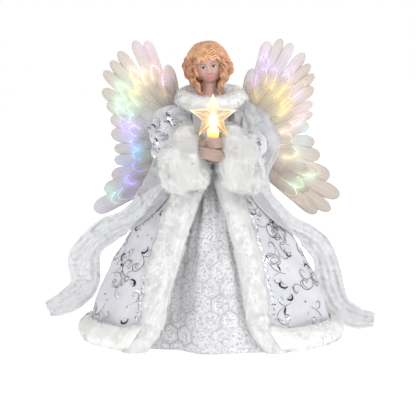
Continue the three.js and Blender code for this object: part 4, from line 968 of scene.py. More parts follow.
def pile_on(name, base, settings, seed, kind):
    """Fine hairs over a plush base, as bent blades that are shaded like the base, so the plush looks soft."""
    rng = np.random.default_rng(seed)
    mesh = base.data
    mesh.calc_loop_triangles()
    tri = np.zeros(len(mesh.loop_triangles) * 3, np.int32)
    mesh.loop_triangles.foreach_get("vertices", tri)
    corners = places_of(base)[tri.reshape(-1, 3)]
    normal = np.cross(corners[:, 1] - corners[:, 0], corners[:, 2] - corners[:, 0])
    area = np.linalg.norm(normal, axis=1) / 2
    normal = unit(normal)
    count = int(area.sum() * settings.density * kind.crowd * (1.0))
    pick = rng.choice(len(area), count, p=area / area.sum())
    a, b = rng.uniform(size=(2, count, 1))
    flip = (a + b) > 1
    a, b = np.where(flip, 1 - a, a), np.where(flip, 1 - b, b)
    root = corners[pick, 0] * (1 - a - b) + corners[pick, 1] * a + corners[pick, 2] * b
    out = normal[pick]
    swirl = 0.5 * ripple(root, 22.0, seed + 1)[:, None] * unit(np.cross(out, [0.3, 0.2, 1.0]))
    lie = np.array([0.0, 0.0, -kind.droop]) + swirl + rng.normal(size=(count, 3)) * 0.3
    lie = unit(lie - out * (lie * out).sum(1, keepdims=True))
    heading = unit(out * rng.uniform(0.6, 1.4, (count, 1)) + lie)
    bend = unit(out * rng.uniform(0.2, 0.9, (count, 1)) + lie)
    reach = settings.pile / MM * kind.length * rng.uniform(0.6, 1.3, (count, 1))
    reach = reach * np.where(rng.uniform(size=(count, 1)) < LONG_HAIRS, 1.5, 1.0)
    reach = reach * np.clip(1 + 0.16 * ripple(root, 8.0, seed + 2), 0.6, 1.5)[:, None]
    across = unit(np.cross(lie, out)) * rng.uniform(0.12, 0.2, (count, 1))
    root = root - out * 0.25
    middle = root + heading * reach * 0.55
    tip = middle + bend * reach * 0.6
    chiefs = KDTree(max(1, count // TUFT))
    for k in range(max(1, count // TUFT)):
        chiefs.insert(root[k], k)
    chiefs.balance()
    nearest = np.array([chiefs.find(place)[1] for place in root])
    gathered = rng.uniform(0.1, 0.5, (count, 1))
    middle = middle + (middle[nearest] - middle) * 0.35 * gathered
    tip = tip + (tip[nearest] - tip) * gathered
    points = np.stack([root - across, root + across, middle - across * 0.8, middle + across * 0.8, tip], 1)
    points[..., 2] = np.maximum(points[..., 2], LOWEST_HAIR)
    first = np.arange(count)[:, None] * 5
    faces = np.hstack([first + [0, 1, 3, 2], first + [2, 3, 4]])
    obj = bare_mesh(name, points.reshape(-1, 3), faces.ravel(), np.tile([4, 3], count))
    # Painted shade: each hair is darker at its root and lighter at its tip, within its trim's range.
    tone = (rng.uniform(*kind.painted_shade, (count, 1)) + np.array([0.3, 0.3, 0.0, 0.0, -0.3])).ravel()
    colour_points(obj, "tone", np.stack([tone] * 3, 1))
    soft = np.repeat(unit(out + np.array([0, 0, 0.2])), 5, axis=0)
    obj.data.normals_split_custom_set_from_vertices(soft.tolist())
    return obj


def crown(across):
    """Rounded top of a plush strip, from -1 to 1 across."""
    return FUR_EDGE + (FUR_THICK - FUR_EDGE) * np.sqrt(np.maximum(0, 1 - np.abs(across) ** 2.4))


def plush_top(u, across, sunk, lump):
    """Height of a strip's plush round its section; its underside is flat."""
    rise = np.sin(TAU * u)
    top = np.where(rise >= 0, (crown(across) - sunk + lump) * np.abs(rise) ** 0.35, 0.0)
    return np.maximum(top, 0)


def front_fur_surface(side):
    """Closed outline of a front trim: u runs round the section, v from the hem to the waist."""
    top_height = 183.0
    narrow, gain = (0.95, 0.3) if side < 0 else (0.9, 0.06)

    def surface(u, v):
        z = FUR_FOOT + (top_height - FUR_FOOT) * v
        edge = front_edge(side, z)
        taper = narrow + gain * smooth(0.1, 0.6, v) - 0.2 * smooth(0.8, 1.0, v)
        across = np.cos(TAU * u) * STRIP_EDGE
        turn = edge + across * FUR_WIDE / 2 * taper / round_speed(edge, z)
        lump = 0.7 * ripple(np.stack([across * 13, z * 0, z], -1), 17.0, 31 + side)
        height = 0.9 + plush_top(u, across, 1.3, lump)
        forward = np.stack([0 * v, -13.0 * smooth(0.7, 0.97, v), 0 * v], -1)
        return coat_at(turn, z) + way_out(coat_at, edge, z) * height[..., None] + forward

    return surface


def hem_fur_surface(u, v):
    """Closed outline of the hem trim: u runs round the section, v from the right front to the left one."""
    across = np.cos(TAU * u) * STRIP_EDGE
    tall = 22.5 + 6.0 * smooth(0.045, 0.0, np.minimum(v, 1 - v))
    z = FUR_FOOT + tall * (across + STRIP_EDGE) / (2 * STRIP_EDGE)
    start, end = beside_edge(1, z, 1.0), beside_edge(-1, z, 1.0) + TAU
    turn = start + (end - start) * v
    smooth_coat = bell(turn, z, COAT_HEM, COAT_WAIST, COAT_FLARE, 0, 0.028, 0.0)
    lump = 0.8 * ripple(np.stack([turn * 100, z, z * 0], -1), 19.0, 37)
    return smooth_coat + outwards(smooth_coat) * (1.0 + plush_top(u, across, 1.2, lump))[..., None]


def collar_surface(u, v):
    """Ring of plush round the neck, higher at the back and broad on its inside; v runs round the neck."""
    turn = TAU * v
    out = np.stack([np.cos(turn), np.sin(turn), turn * 0], -1)
    middle = out * np.array([26.5, 25.0, 0.0])
    middle[..., 2] = 244.8 + 5.8 * np.sin(turn)
    roll = TAU * u
    lump = 0.5 * ripple(middle + np.stack([roll * 6] * 3, -1), 22.0, 41)
    reach = 9.8 - 1.6 * np.maximum(0, -np.sin(turn)) + lump
    across = reach * np.cos(roll) * (1 + 0.42 * smooth(0.2, -0.8, np.cos(roll)))
    return middle + out * across[..., None] + np.array([0, 0, 1.0]) * (reach * np.sin(roll))[..., None]


# Middle, half width, droop and slant of the cuff on each side
CUFFS = {-1: (-25.0, 22.4, 0.31, 0.6), 1: (26.6, 20.2, 0.3, 8.6)}


def cuff_surface(side):
    """Tall drooping cuff; u runs round it, v from its foot to its top."""
    middle, half, droops, slant = CUFFS[side]

    def surface(u, v):
        share = (2 * v - 1) * 0.985
        wide = np.sqrt(np.maximum(0.0, 1 - share**2)) ** 0.8
        droop = 1 - droops * share
        turn = TAU * u
        ring = np.stack([np.cos(turn) * half, np.sin(turn) * 15.4, turn * 0], -1) * (wide * droop)[..., None]
        point = ring + np.array([middle, -57.0, 188.5]) + np.array([0, 0, 32.6]) * share[..., None]
        point[..., 0] -= side * slant * share
        lump = 1.4 * ripple(point, 30.0, 51 + side) + 0.4 * ripple(point, 13.0, 53 + side)
        return point + unit(ring + 1e-6) * (lump * wide)[..., None]

    return surface


# Sleeves and stole

# Places along the ribbon: x, y and z, the direction across it, its width and half of its roll round the arm
LEFT_STOLE = (
    (-44, 15, 213, -0.3, 0, 0.95, 22, 0), (-47, 4, 196, -0.8, 0.3, 0.5, 26, 0),
    (-46, -10, 177, -0.85, 0.5, 0.2, 34, 0), (-56, -15, 153, -0.75, 0.6, 0.25, 38, 0),
    (-70, -14, 133, -0.68, 0.55, 0.5, 33, 0), (-86, -3, 121, -0.6, 0.25, 0.77, 25, 0),
    (-105, 10, 111, -0.75, 0, 0.65, 29, 0), (-130, 13, 86, -0.99, 0, 0.0, 34, 0),
    (-131, 14, 55, -0.97, 0, 0.1, 31, 0), (-142, 16, 40, -0.7, 0, 0.7, 27, 0),
    (-156, 16, 32, -0.2, 0, 1, 24, 0), (-170, 16, 26, -0.4, 0, 0.9, 17, 0),
)
RIGHT_STOLE = (
    (20, 3, 223, 0.1, 0, 1, 82, 2.2), (32, 4, 221, 0.2, 0, 1, 100, 2.4),
    (44, 2, 212, 0.45, 0, 0.88, 100, 2.4), (51, -2, 199, 0.8, 0, 0.6, 76, 2.0),
    (53, -4, 184, 0.95, 0, 0.3, 34, 0.7), (46, -13, 167, 0.85, 0.5, 0.2, 30, 0.2),
    (50, -18, 150, 0.75, 0.6, 0.2, 32, 0), (65, -18, 131, 0.68, 0.6, 0.4, 30, 0),
    (80, -8, 116, 0.62, 0.3, 0.72, 24, 0), (98, 11, 105, 0.58, 0, 0.81, 24, 0),
    (114, 17, 89, 0.6, 0, 0.8, 27, 0), (121, 22, 64, 0.9, 0, 0.43, 30, 0),
    (125, 25, 44, 0.97, 0, 0.23, 31, 0), (134, 26, 27, 0.75, 0, 0.65, 27, 0),
    (152, 24, 16, 0.3, 0, 0.95, 24, 0), (171, 22, 14, 0.1, 0, 1, 16, 0),
)
STOLE_GRID = (36, 300)


def sleeve_surface(side, grow=0.0):
    """Sleeve from the shoulder to the cuff; u runs round it, v along it."""
    elbow, rings, pulls = (-45.5, 0.14, 0.25) if side < 0 else (42.0, 0.05, 0.06)
    path = spline([(side * 19.0, -1, 224.0), (elbow - side * 3.5, -1, 221.8), (elbow, -14, 204.8),
                   (elbow - side * 7.5, -34, 192.5), (side * 32.0, -46, 190.5)], 60)
    ahead = unit(np.gradient(path, axis=0))
    level = unit(np.cross([0.0, 0.0, 1.0], ahead))
    up = np.cross(ahead, level)

    def surface(u, v):
        point, flat, rise = along_line(path, v), along_line(level, v), along_line(up, v)
        turn = TAU * u
        radius = 12.5 + 3.1 * np.minimum(1, v * 2.6) - 0.6 * np.maximum(0, v * 2 - 1)
        crease = rings * np.sin(np.pi * v) ** 0.7 * np.cos(5 * turn + 9 * v)
        pull = np.abs(np.sin(11 * v + 1.6 * np.sin(turn + 1) + side)) - 0.6
        crease = crease + pulls * pull * smooth(-0.06, 0.14, v)
        crease = crease + 0.07 * np.cos(9 * turn + 2 * side) * smooth(0.0, 0.06, v) * smooth(0.4, 0.12, v)
        wrinkle = ripple(np.stack([np.cos(turn) * 8, np.sin(turn) * 8, v * 60], -1), 15.0, 61 + side)
        tucked = smooth(0.55, 0.35, v) if side > 0 else 0.0
        crease = (crease + 0.045 * wrinkle * np.sin(np.pi * v)) * (1 - 0.7 * tucked)
        reach = radius * (1.03 - 0.12 * tucked + crease) + grow
        return point + flat * (reach * np.cos(turn))[..., None] + rise * (reach * np.sin(turn))[..., None]

    return surface


def clear_of_coat(points):
    """Points of a ribbon, moved out where they would be inside the coat, but not from near its axis."""
    near, clear = 0.3, 1.04
    z = np.clip(points[..., 2], 2, WAIST)
    share = (z / WAIST) ** COAT_FLARE
    wide = COAT_HEM[0] + (COAT_WAIST[0] - COAT_HEM[0]) * share
    behind = np.where(points[..., 1] > 0, COAT_HEM[2], COAT_HEM[1])
    deep = behind + (COAT_WAIST[1] - behind) * share
    reach = np.sqrt((points[..., 0] / wide) ** 2 + (points[..., 1] / deep) ** 2)
    pushed = np.maximum(1.0, clear / np.maximum(reach, near))
    scale = np.where((points[..., 2] < WAIST) & (reach > near), pushed, 1.0)
    return points * np.stack([scale, scale, np.ones_like(scale)], -1)


def stole_surface(places, seed):
    """Ribbon along its places, crinkled, and rolled round the arm where a place has a roll."""
    line = spline(places, 400, even=False)

    def surface(u, v):
        row = along_line(line, v)
        across = unit(row[..., 3:6])
        ahead = unit(along_line(np.gradient(line[:, :3], axis=0), v))
        face = unit(np.cross(across, ahead))
        face = face * np.where(face[..., 1:2] > 0, -1.0, 1.0)
        s = 2 * u - 1
        half, roll = row[..., 6] / 2, np.maximum(row[..., 7], 0.02)
        over = half * (np.cos(roll * s) - np.cos(roll)) / roll
        point = row[..., :3] + across * (half * np.sin(roll * s) / roll)[..., None] + face * over[..., None]
        away = unit(across * np.sin(roll * s)[..., None] + face * np.cos(roll * s)[..., None])
        fold = 1.2 * np.sin(TAU * (0.9 * s + 1.3 * v) + seed) + 0.7 * np.sin(TAU * (2.2 * s - 3.0 * v))
        fold = fold + 0.7 * roll * np.sin(TAU * (3.4 * s + 1.2 * np.sin(9 * v)) + 34 * v)
        lift = fold + 0.8 * ripple(point, 15.0, seed) + 0.45 * ripple(point, 6.0, seed + 1)
        return clear_of_coat(point + away * lift[..., None])

    return surface


# Head

EYE = (5.1, -3.2)
HEAD_HALF = (14.4, 16.2)  # half width and half depth
CROWN_HEIGHT, CHIN_DEPTH = 19.8, 21.2
HAIR_HALF = 21.4
HAIR_HIGH, HAIR_FRONT, HAIR_BACK = 22.0, 18.4, 20.0


def head_form(d):
    """Head from directions out of its middle: jaw, brow, nose, lips, chin and cheeks."""
    p = d * np.where(d[:, 2:] < 0, np.array([*HEAD_HALF, CHIN_DEPTH]), np.array([*HEAD_HALF, CROWN_HEIGHT]))
    p[:, 1] *= np.where(d[:, 1] < 0, 1.14, 1.0)
    x, z = p[:, 0].copy(), p[:, 2].copy()
    front = smooth(0.1, -0.75, d[:, 1])
    low = np.maximum(0, -d[:, 2])
    p[:, 0] *= 1 - 0.3 * low**2.2
    p[:, 1] += front * low**2 * 0.8
    p[:, 1] += 1.1 * front * both(x, z, EYE, 3.2, 2.4)
    p[:, 1] -= 0.75 * front * both(x, z, EYE, 1.7, 1.2)
    p[:, 1] -= 0.7 * front * both(x, z, (6.8, -9.5), 3.6)
    bridge = np.exp(-((x / 1.25) ** 2)) * smooth(0.5, -9.0, z) * smooth(-11.2, -9.4, z)
    p[:, 1] -= front * (2.5 * bridge + 0.9 * bump(x, z, (0, -9.4), 1.7, 1.1))
    p[:, 1] -= front * 0.7 * both(x, z, (1.6, -9.9), 0.9)
    p[:, 1] -= front * (1.0 * bump(x, z, (0, -13.1), 2.9, 0.8) + 1.05 * bump(x, z, (0, -14.8), 2.3, 0.8))
    p[:, 1] += front * 0.35 * bump(x, z, (0, -13.95), 2.6, 0.35)
    p[:, 1] -= front * 1.5 * bump(x, z, (0, -18.3), 3.4, 2.2)
    return p


def face_paint(local, settings):
    """Painted face: rosy cheeks, lips, brows and dark eyes, with painted light towards the chin and a painted
    highlight down the nose.
    """
    x, z = local[:, 0], local[:, 2]
    front = (local[:, 1] < -4).astype(float)
    # Painted light: the front of the face is lighter towards the chin.
    colour = np.array(settings.skin) * (1 + 0.26 * front * smooth(-9.0, -17.0, z))[:, None]

    def lay(share, paint):
        share = np.clip(share * front, 0, 1)[:, None]
        colour[:] = colour * (1 - share) + np.array(paint) * share

    # Painted highlight down the nose.
    lay(0.4 * bump(x, z, (0.0, -6.0), 1.1, 4.0), (0.8, 0.56, 0.5))
    for side in (-1, 1):
        lay(0.4 * bump(x, z, (side * 7.2, -9.5), 3.4, 2.6), (0.74, 0.37, 0.35))
        lay(0.4 * bump(x, z, (side * EYE[0], EYE[1] + 1.7), 3.0, 1.1), (0.55, 0.36, 0.36))
        off = x - side * EYE[0]
        eye = (off / 3.0) ** 2 + ((z - EYE[1]) / 1.45) ** 2
        lay(smooth(1.1, 0.85, eye), (0.56, 0.48, 0.46))
        iris = off**2 + (z - EYE[1] - 0.05) ** 2
        lay(smooth(2.7, 1.8, iris), (0.055, 0.065, 0.04))
        lay(smooth(0.6, 0.3, iris), (0.008, 0.008, 0.008))
        lid = np.abs(z - EYE[1] - 1.3 + 0.12 * off**2)
        lay(smooth(0.75, 0.35, lid) * smooth(3.4, 2.7, np.abs(off)), (0.1, 0.07, 0.06))
        brow = np.abs(z - (EYE[1] + 3.7) + 0.075 * (off - side * 0.4) ** 2)
        lay(0.9 * smooth(0.85, 0.35, brow) * smooth(3.8, 3.0, np.abs(off)), (0.2, 0.12, 0.11))
    bow = 1.1 * np.exp(-((np.abs(x) - 1.2) ** 2) / 1.2) - 0.06 * x**2
    upper = smooth(-14.1, -13.8, z - 0.07 * x**2) * smooth(-12.55 + 0.45 * bow, -12.9 + 0.45 * bow, z)
    lower = smooth(-13.8, -14.0, z - 0.07 * x**2) * smooth(-15.9 + 0.14 * x**2, -15.5 + 0.14 * x**2, z)
    lay(np.maximum(upper, lower) * smooth(4.1, 3.2, np.abs(x)), settings.lips)
    seam = np.abs(z + 13.95 - 0.07 * x**2)
    lay(0.7 * smooth(0.35, 0.1, seam) * smooth(4.1, 3.3, np.abs(x)), (0.36, 0.09, 0.1))
    lay(0.5 * both(x, z, (0.85, -10.5), 0.45, 0.35), (0.4, 0.18, 0.16))
    return colour


def head_posed(points):
    """From about the head's middle to its place: bowed, and tipped with the crown to the left."""
    return turned_about(turned_about(points, "x", 5), "y", -10) + HEAD_AT


def sphere_piece(name, across, along):
    """A fine ball whose points give directions."""
    deselect()
    bpy.ops.mesh.primitive_uv_sphere_add(segments=across, ring_count=along, radius=1)
    obj = bpy.context.object
    obj.name = obj.data.name = name
    return obj, places_of(obj) * MM


def hair_ball(d, grow=0.0):
    """Outside of the hair in directions out of the head's middle."""
    wide = np.where(d[..., 2:3] > 0, 1.0, 0.96)
    deep = np.where(d[..., 1:2] < 0, HAIR_FRONT, HAIR_BACK)
    size = np.concatenate([HAIR_HALF * wide, deep * wide, HAIR_HIGH * np.ones_like(wide)], -1)
    return d * (size + grow)


# Wings

# Degrees down from upright and length of each long feather, from the top one down
LEFT_FEATHERS = (
    (5, 49), (19, 82), (26, 91), (37, 94), (43, 95), (49, 96), (57, 88), (61, 79), (67, 71), (76, 67),
    (86, 62), (94, 62), (105, 67), (111, 78), (118, 95),
)
RIGHT_FEATHERS = (
    (3, 45), (14, 78), (22, 87.5), (29, 91), (38.5, 92), (45, 90), (50.5, 88), (56, 81), (64, 74),
    (70, 71), (77, 65), (90, 69), (99, 76), (110, 91), (117, 108), (125, 106), (130, 94),
)


class Layer(NamedTuple):
    """A layer of feathers: its count, or 0 for one for each long feather, and its other sizes and looks."""

    count: int
    share: float  # length beside the long feathers
    depth: float  # in front of the hinge's plane
    shine: float
    cover: float
    fade: float  # how much of the cover is lost at a feather's edge


LAYERS = {
    "long": Layer(0, 1.0, -2.7, 0.75, 0.86, 0.1),
    "middle": Layer(13, 0.7, -4.4, 0.95, 0.52, 0.6),
    "short": Layer(9, 0.42, -6.6, 1.0, 0.45, 0.7),
}
FILM = 0.0005  # thickness in metres
FIBRE_DEPTH, FIBRE_STEPS = -5.6, 40

# Colours of the light in the feathers
ORCHID, ROSE, MAUVE = (0.97, 0.77, 0.98), (1.0, 0.79, 0.88), (0.91, 0.81, 0.95)
LILAC, HEATHER, VIOLET = (0.81, 0.74, 1.0), (0.78, 0.7, 1.0), (0.73, 0.67, 1.0)
LAVENDER, PERIWINKLE = (0.84, 0.8, 0.98), (0.66, 0.72, 1.0)
SKY, PALE_SKY, AQUA, ICE = (0.6, 0.86, 1.0), (0.82, 0.92, 1.0), (0.6, 0.97, 1.0), (0.85, 0.97, 0.96)
JADE, MINT, PALE_MINT, LEAF = (0.62, 1.0, 0.84), (0.66, 1.0, 0.9), (0.73, 1.0, 0.91), (0.86, 1.0, 0.85)
GOLD, PALE_GOLD, LEMON = (1.0, 0.87, 0.54), (1.0, 0.89, 0.63), (0.98, 0.99, 0.84)
CREAM, PEARL = (1.0, 0.91, 0.77), (1.0, 0.92, 0.84)

# Soft patches of light on each wing: x, z, reach and colour
LEFT_GLOW = (
    (-61.5, 295, 20, ORCHID), (-47, 264.5, 7, ORCHID), (-72.5, 270.5, 22, CREAM), (-90.5, 257.5, 11, JADE),
    (-75.5, 247.5, 20, PALE_GOLD), (-92.5, 239.5, 12, PALE_MINT), (-78.5, 233.5, 10, MINT),
    (-63.5, 224.5, 14, PALE_SKY), (-83.5, 216.5, 13, HEATHER), (-85.5, 204.5, 12, VIOLET),
    (-76.5, 192.5, 12, SKY), (-91.5, 176, 12, PERIWINKLE), (-87.5, 158, 13, VIOLET),
    (-105.5, 148, 11, PALE_MINT), (-114.5, 130, 13, LAVENDER),
)
RIGHT_GLOW = (
    (45, 264.5, 8, LILAC), (52.5, 280.5, 10, LILAC), (65.5, 278.5, 10, LILAC), (77.5, 270.5, 9, LILAC),
    (88.5, 248.5, 8, LILAC), (57.5, 295, 10, MAUVE), (81.5, 289, 11, MAUVE), (66.5, 250.5, 20, GOLD),
    (72.5, 231.5, 14, PALE_GOLD), (96.5, 234.5, 9, ROSE), (89.5, 219.5, 9, ROSE), (73.5, 212.5, 10, PEARL),
    (98.5, 211.5, 7, AQUA), (93.5, 198.5, 8, ICE), (91.5, 182, 9, LEMON), (75.5, 184, 8, CREAM),
    (88.5, 156, 6, LEAF), (102.5, 163, 6, LEAF),
)
# Fibre along the innermost feather of each side, as distances out and up from the hinge
INNER_FIBRE = {
    -1: ((32.4, 66.0), (33.5, 56.6), (32.4, 46.1), (30.3, 38.8)),
    1: ((31.4, 63.9), (29.2, 54.5), (28.2, 44.1), (30.3, 35.7)),
}


def wing_colour(side, points, film):
    """Colour and strength of the light at places of a wing: soft patches over the bare film."""
    total = np.full(len(points), 0.12)[:, None]
    colour = total * np.array(film)
    strength = np.zeros(len(points))
    for x, z, reach, light in LEFT_GLOW if side < 0 else RIGHT_GLOW:
        share = np.exp(-((points[:, 0] - x) ** 2 + (points[:, 2] - z) ** 2) / (1.105 * reach) ** 2)
        colour = colour + share[:, None] * np.array(light)
        total = total + share[:, None]
        strength = np.maximum(strength, share)
    return colour / total, strength


def wing_posed(side, out, depth, rise):
    """From the wing's own plane to its place: swept back about the hinge."""
    points = np.stack([side * out, depth, rise], -1)
    return turned_about(points, "z", 9.0 * side) + HINGE * np.array([side, 1.0, 1.0])


def feather_list(side, layer):
    """Root, direction, length and half width of each feather of a layer, from the top one down."""
    share = LAYERS[layer].share
    table = np.array(LEFT_FEATHERS if side < 0 else RIGHT_FEATHERS, float)
    count = LAYERS[layer].count or len(table)
    found = []
    for i in range(count):
        t = i / (count - 1)
        degrees, length = along_line(table, np.array(t))
        turn = math.radians(degrees)
        along = np.array([math.sin(turn), math.cos(turn)])
        root = np.array([24.0, 21.0 - (59.0 if side < 0 else 46.0) * t])
        found.append((root, along, length * share))
    tips = np.array([root + along * length for root, along, length in found])
    gap = np.linalg.norm(np.diff(tips, axis=0), axis=1)
    halves = np.minimum(np.r_[gap[0], gap], np.r_[gap, gap[-1]]) * 0.47
    halves[0] = 19.0 if layer == "long" else halves[0] * 0.5
    halves = np.clip(halves, 3.4 * share**0.4, 9.0 * share**0.3)
    return [(*one, float(half)) for one, half in zip(found, halves)]


def feather_width(t, broad=False):
    """Half width along a feather, as a share: narrow root, full blade, round tip, longer on a broad one."""
    body = 0.45 + 0.55 * smooth(0.0, 0.4, t)
    start = 0.42 if broad else 0.84
    return body * np.sqrt(np.maximum(0.0, 1 - np.clip((t - start) / (1 - start), 0, 1) ** 2.4))


def feather_fan(name, side, layer, settings):
    """All feathers of a layer as one mesh of cambered blades that lap over each other."""
    rows, columns = 22, 9
    kind = LAYERS[layer]
    t, s = np.meshgrid(1 - (1 - np.linspace(0, 1, rows)) ** 1.5, np.linspace(-1, 1, columns), indexing="ij")
    points, cloth, corners, edge = [], [], [], []
    for i, (root, along, length, half) in enumerate(feather_list(side, layer)):
        across = np.array([along[1], -along[0]])
        width = feather_width(t, i == 0 and layer == "long") * half
        flat = root + along * (t * length)[..., None] + across * (s * width)[..., None]
        bow = 0.45 * s * (0.3 + t) - 0.3 * (1 - s**2) * t + 0.25 * np.sin(5 * t + i)
        points.append(wing_posed(side, flat[..., 0], kind.depth + bow, flat[..., 1]).reshape(-1, 3))
        cloth.append(np.stack([s * width, t * length], -1).reshape(-1, 2) * MM)
        rim = smooth(0.55, 1.0, np.abs(s)) * smooth(0.3, 0.8, t)
        edge.append(np.maximum(rim, smooth(0.8, 1.0, t)).ravel())
        corners.append(grid_corners(rows, columns, i * rows * columns))
    points, cloth, edge = np.vstack(points), np.vstack(cloth), np.concatenate(edge)
    quads = np.vstack(corners)
    if side > 0:
        quads = quads[:, ::-1]
    obj = bare_mesh(name, points, quads.ravel(), np.full(len(quads), 4))
    laid = cloth[quads.ravel()].astype(np.float32)
    obj.data.uv_layers.new(name="UVMap").data.foreach_set("uv", laid.ravel())
    light, strength = wing_colour(side, points, settings.film_colour)
    film = np.array(settings.film_colour)
    tint = film + (light * 0.66 - film) * (0.15 + 0.75 * strength[:, None])
    tint = tint * (1 - 0.08 * edge * (1 - strength))[:, None]
    shine = settings.glow * kind.shine * strength * (1 + 1.2 * edge)
    cover = kind.cover * (1 - kind.fade * edge)
    colour_points(obj, "tint", np.hstack([tint, cover[:, None]]))
    spots = np.vstack(fibre_paths(side))[::3]
    far = np.linalg.norm((points[:, None] - spots[None]) * np.array([1.0, 0.2, 1.0]), axis=2).min(1)
    halo = np.exp(-((far / 3.4) ** 2))[:, None] * 0.38 * fibre_colour(side, points)
    colour_points(obj, "glow", light * shine[:, None] + halo)
    return modify(obj, "SOLIDIFY", thickness=FILM, offset=0.0)


def fibre_paths(side):
    """Loops of light fibre: along the lower edge of a feather, round its tip and a little way back."""
    rng = np.random.default_rng(71 + side)
    paths = []

    def lay(places):
        loop = spline(places, FIBRE_STEPS)
        paths.append(wing_posed(side, loop[:, 0], np.full(FIBRE_STEPS, FIBRE_DEPTH), loop[:, 1]))

    for layer, lit_share, reach_to in (("middle", 0.85, 1.0), ("long", 0.55, 0.86)):
        for root, along, length, half in feather_list(side, layer)[1:]:
            if rng.uniform() > lit_share:
                continue
            across = np.array([along[1], -along[0]])
            far = reach_to * rng.uniform(0.88, 1.0)
            near = far - rng.uniform(0.16, 0.42)
            back = far - rng.uniform(0.03, 0.14)
            reach = np.r_[np.linspace(near, far, 22), np.linspace(far - 0.004, back, 8)]
            ease = np.sqrt(np.clip((far - reach) / 0.11, 0, 1))
            hand = np.r_[np.ones(22), -np.ones(8)]
            flat = root + along * (reach * length)[:, None] + across * (ease * half * 0.8 * hand)[:, None]
            lay(np.column_stack([flat, np.zeros(len(flat))]))
    lay([(out, up, 0.0) for out, up in INNER_FIBRE[side]])
    return paths


def fibre_colour(side, points):
    """Clear colour of the light in a fibre."""
    light, strength = wing_colour(side, points, (0.9, 0.85, 0.8))
    return light**3.2 * (0.45 + 0.5 * strength[:, None])


def fibre_arcs(name, side, settings):
    """Light fibres: a fine bright line and beads along each loop."""
    rng = np.random.default_rng(75 + side)
    lines = []
    for path in fibre_paths(side):
        lines.append((path, np.full(FIBRE_STEPS, settings.fibre_radius / MM * 0.6)))
        for at in np.linspace(0.03, 0.97, int(rng.uniform(7, 11))):
            middle = along_line(path, np.array(at + rng.normal() * 0.02))
            bead = middle + np.outer([-0.6, 0.0, 0.6], [0.0, 0.0, 1.0])
            lines.append((bead, np.array([0.35, 0.8, 0.35]) * rng.uniform(0.7, 1.25)))
    obj = tubes(name, lines, 6)
    glow = fibre_colour(side, places_of(obj))
    return colour_points(obj, "glow", glow + 0.12 * glow.max(1, keepdims=True))


# Operators


class ANGEL_OT_stage(bpy.types.Operator):
    """Camera, lamps and the pale floor"""

    bl_idname = "angel.stage"
    bl_label = "Stage"

    def execute(self, context):
        settings = context.scene.angel_stage
        deselect()
        turn = settings.camera_elevation
        back = Vector((0, -math.cos(turn), math.sin(turn)))
        place = Vector((0, 0, settings.look_height)) + back * settings.camera_distance
        bpy.ops.object.camera_add(location=place, rotation=(-back).to_track_quat("-Z", "Y").to_euler())
        camera = context.object
        camera.data.lens = settings.lens
        camera.data.shift_x = settings.shift
        context.scene.camera = camera
        for name, at, size, power in (
            ("key_light", (0.75, -1.0, 1.05), 0.7, settings.key_power),
            ("fill_light", (-1.1, -0.9, 0.55), 1.0, settings.fill_power),
            ("back_light", (0.1, 1.1, 1.0), 0.8, settings.fill_power * 0.9),
        ):
            aim = (Vector((0, 0, 0.15)) - Vector(at)).to_track_quat("-Z", "Y").to_euler()
            bpy.ops.object.light_add(type="AREA", location=at, rotation=aim)
            lamp = context.object
            lamp.name = name
            lamp.data.energy, lamp.data.size = power, size
        world = context.scene.world or bpy.data.worlds.new("studio")
        context.scene.world = world
        world.use_nodes = True
        tree = world.node_tree
        sky = tree.nodes["Background"]
        sky.inputs["Color"].default_value = (1, 1, 1, 1)
        seen = tree.nodes.new("ShaderNodeLightPath")
        level = tree.nodes.new("ShaderNodeMapRange")
        level.inputs["To Min"].default_value = settings.ambient
        level.inputs["To Max"].default_value = 1.0
        tree.links.new(seen.outputs["Is Camera Ray"], level.inputs["Value"])
        tree.links.new(level.outputs["Result"], sky.inputs["Strength"])
        deselect()
        bpy.ops.mesh.primitive_grid_add(x_subdivisions=8, y_subdivisions=8, size=14, location=(0, 0, 0))
        floor = context.object
        floor.name = floor.data.name = "studio_floor"
        move_to(floor, places_of(floor) + np.array([0, 0, -0.2]))
        paper = Finish("studio_paper", roughness=0.95, specular_ior_level=0.0, emission_strength=0.62)
        paper.shader.inputs["Emission Color"].default_value = (1, 1, 1, 1)
        tone = paper.mix(paper.noise(paper.own_place(), 0.8, 2.0), (0.93, 0.93, 0.93), (0.96, 0.96, 0.96))
        floor.data.materials.append(paper.give(base_color=tone))
        context.scene.view_settings.view_transform = "Standard"
        return {"FINISHED"}


class ANGEL_OT_inner_finishes(bpy.types.Operator):
    """Finishes of the moulded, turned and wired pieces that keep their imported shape"""

    bl_idname = "angel.inner_finishes"
    bl_label = "Inner finishes"

    def execute(self, context):
        plastic = plain_finish("white_moulding", (0.72, 0.71, 0.68), 0.45)
        steel = plain_finish("drawn_steel", (0.62, 0.63, 0.65), 0.32, 0.0008, 1.0)
        board = plain_finish("printed_board", (0.03, 0.2, 0.08), 0.5, 0.0012, 0.0, (0.05, 0.27, 0.12))
        dark = plain_finish("dark_moulding", (0.028, 0.028, 0.03), 0.42)
        lens = plain_finish("light_lens", (0.85, 0.86, 0.9), 0.18, 0.0015)
        lamp = plain_finish("lamp_moulding", (0.2, 0.16, 0.13), 0.4)
        fibre = plain_finish("fibre_bundle", (0.8, 0.8, 0.86), 0.25, 0.0007, 0.0, (0.62, 0.62, 0.7))
        groups = {
            plastic: ("support_cone", "tree_socket", "floor_plate", "torso_front", "torso_back",
                      "wing_bracket", "left_wing_spine", "right_wing_spine"),
            steel: ("left_arm_wire", "right_arm_wire", "lower_bracket_screw", "upper_bracket_screw",
                    "left_hinge_pin", "right_hinge_pin"),
            board: ("lamp_board",),
            dark: ("power_inlet", "lamp_lead", "left_ferrule", "right_ferrule"),
            lens: ("left_light", "right_light"),
            lamp: ("lamp_socket",),
            fibre: ("left_fibre_bundle", "right_fibre_bundle"),
        }
        for finish, names in groups.items():
            for name in names:
                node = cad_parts[name]
                node.data.materials.clear()
                node.data.materials.append(finish)
        return {"FINISHED"}


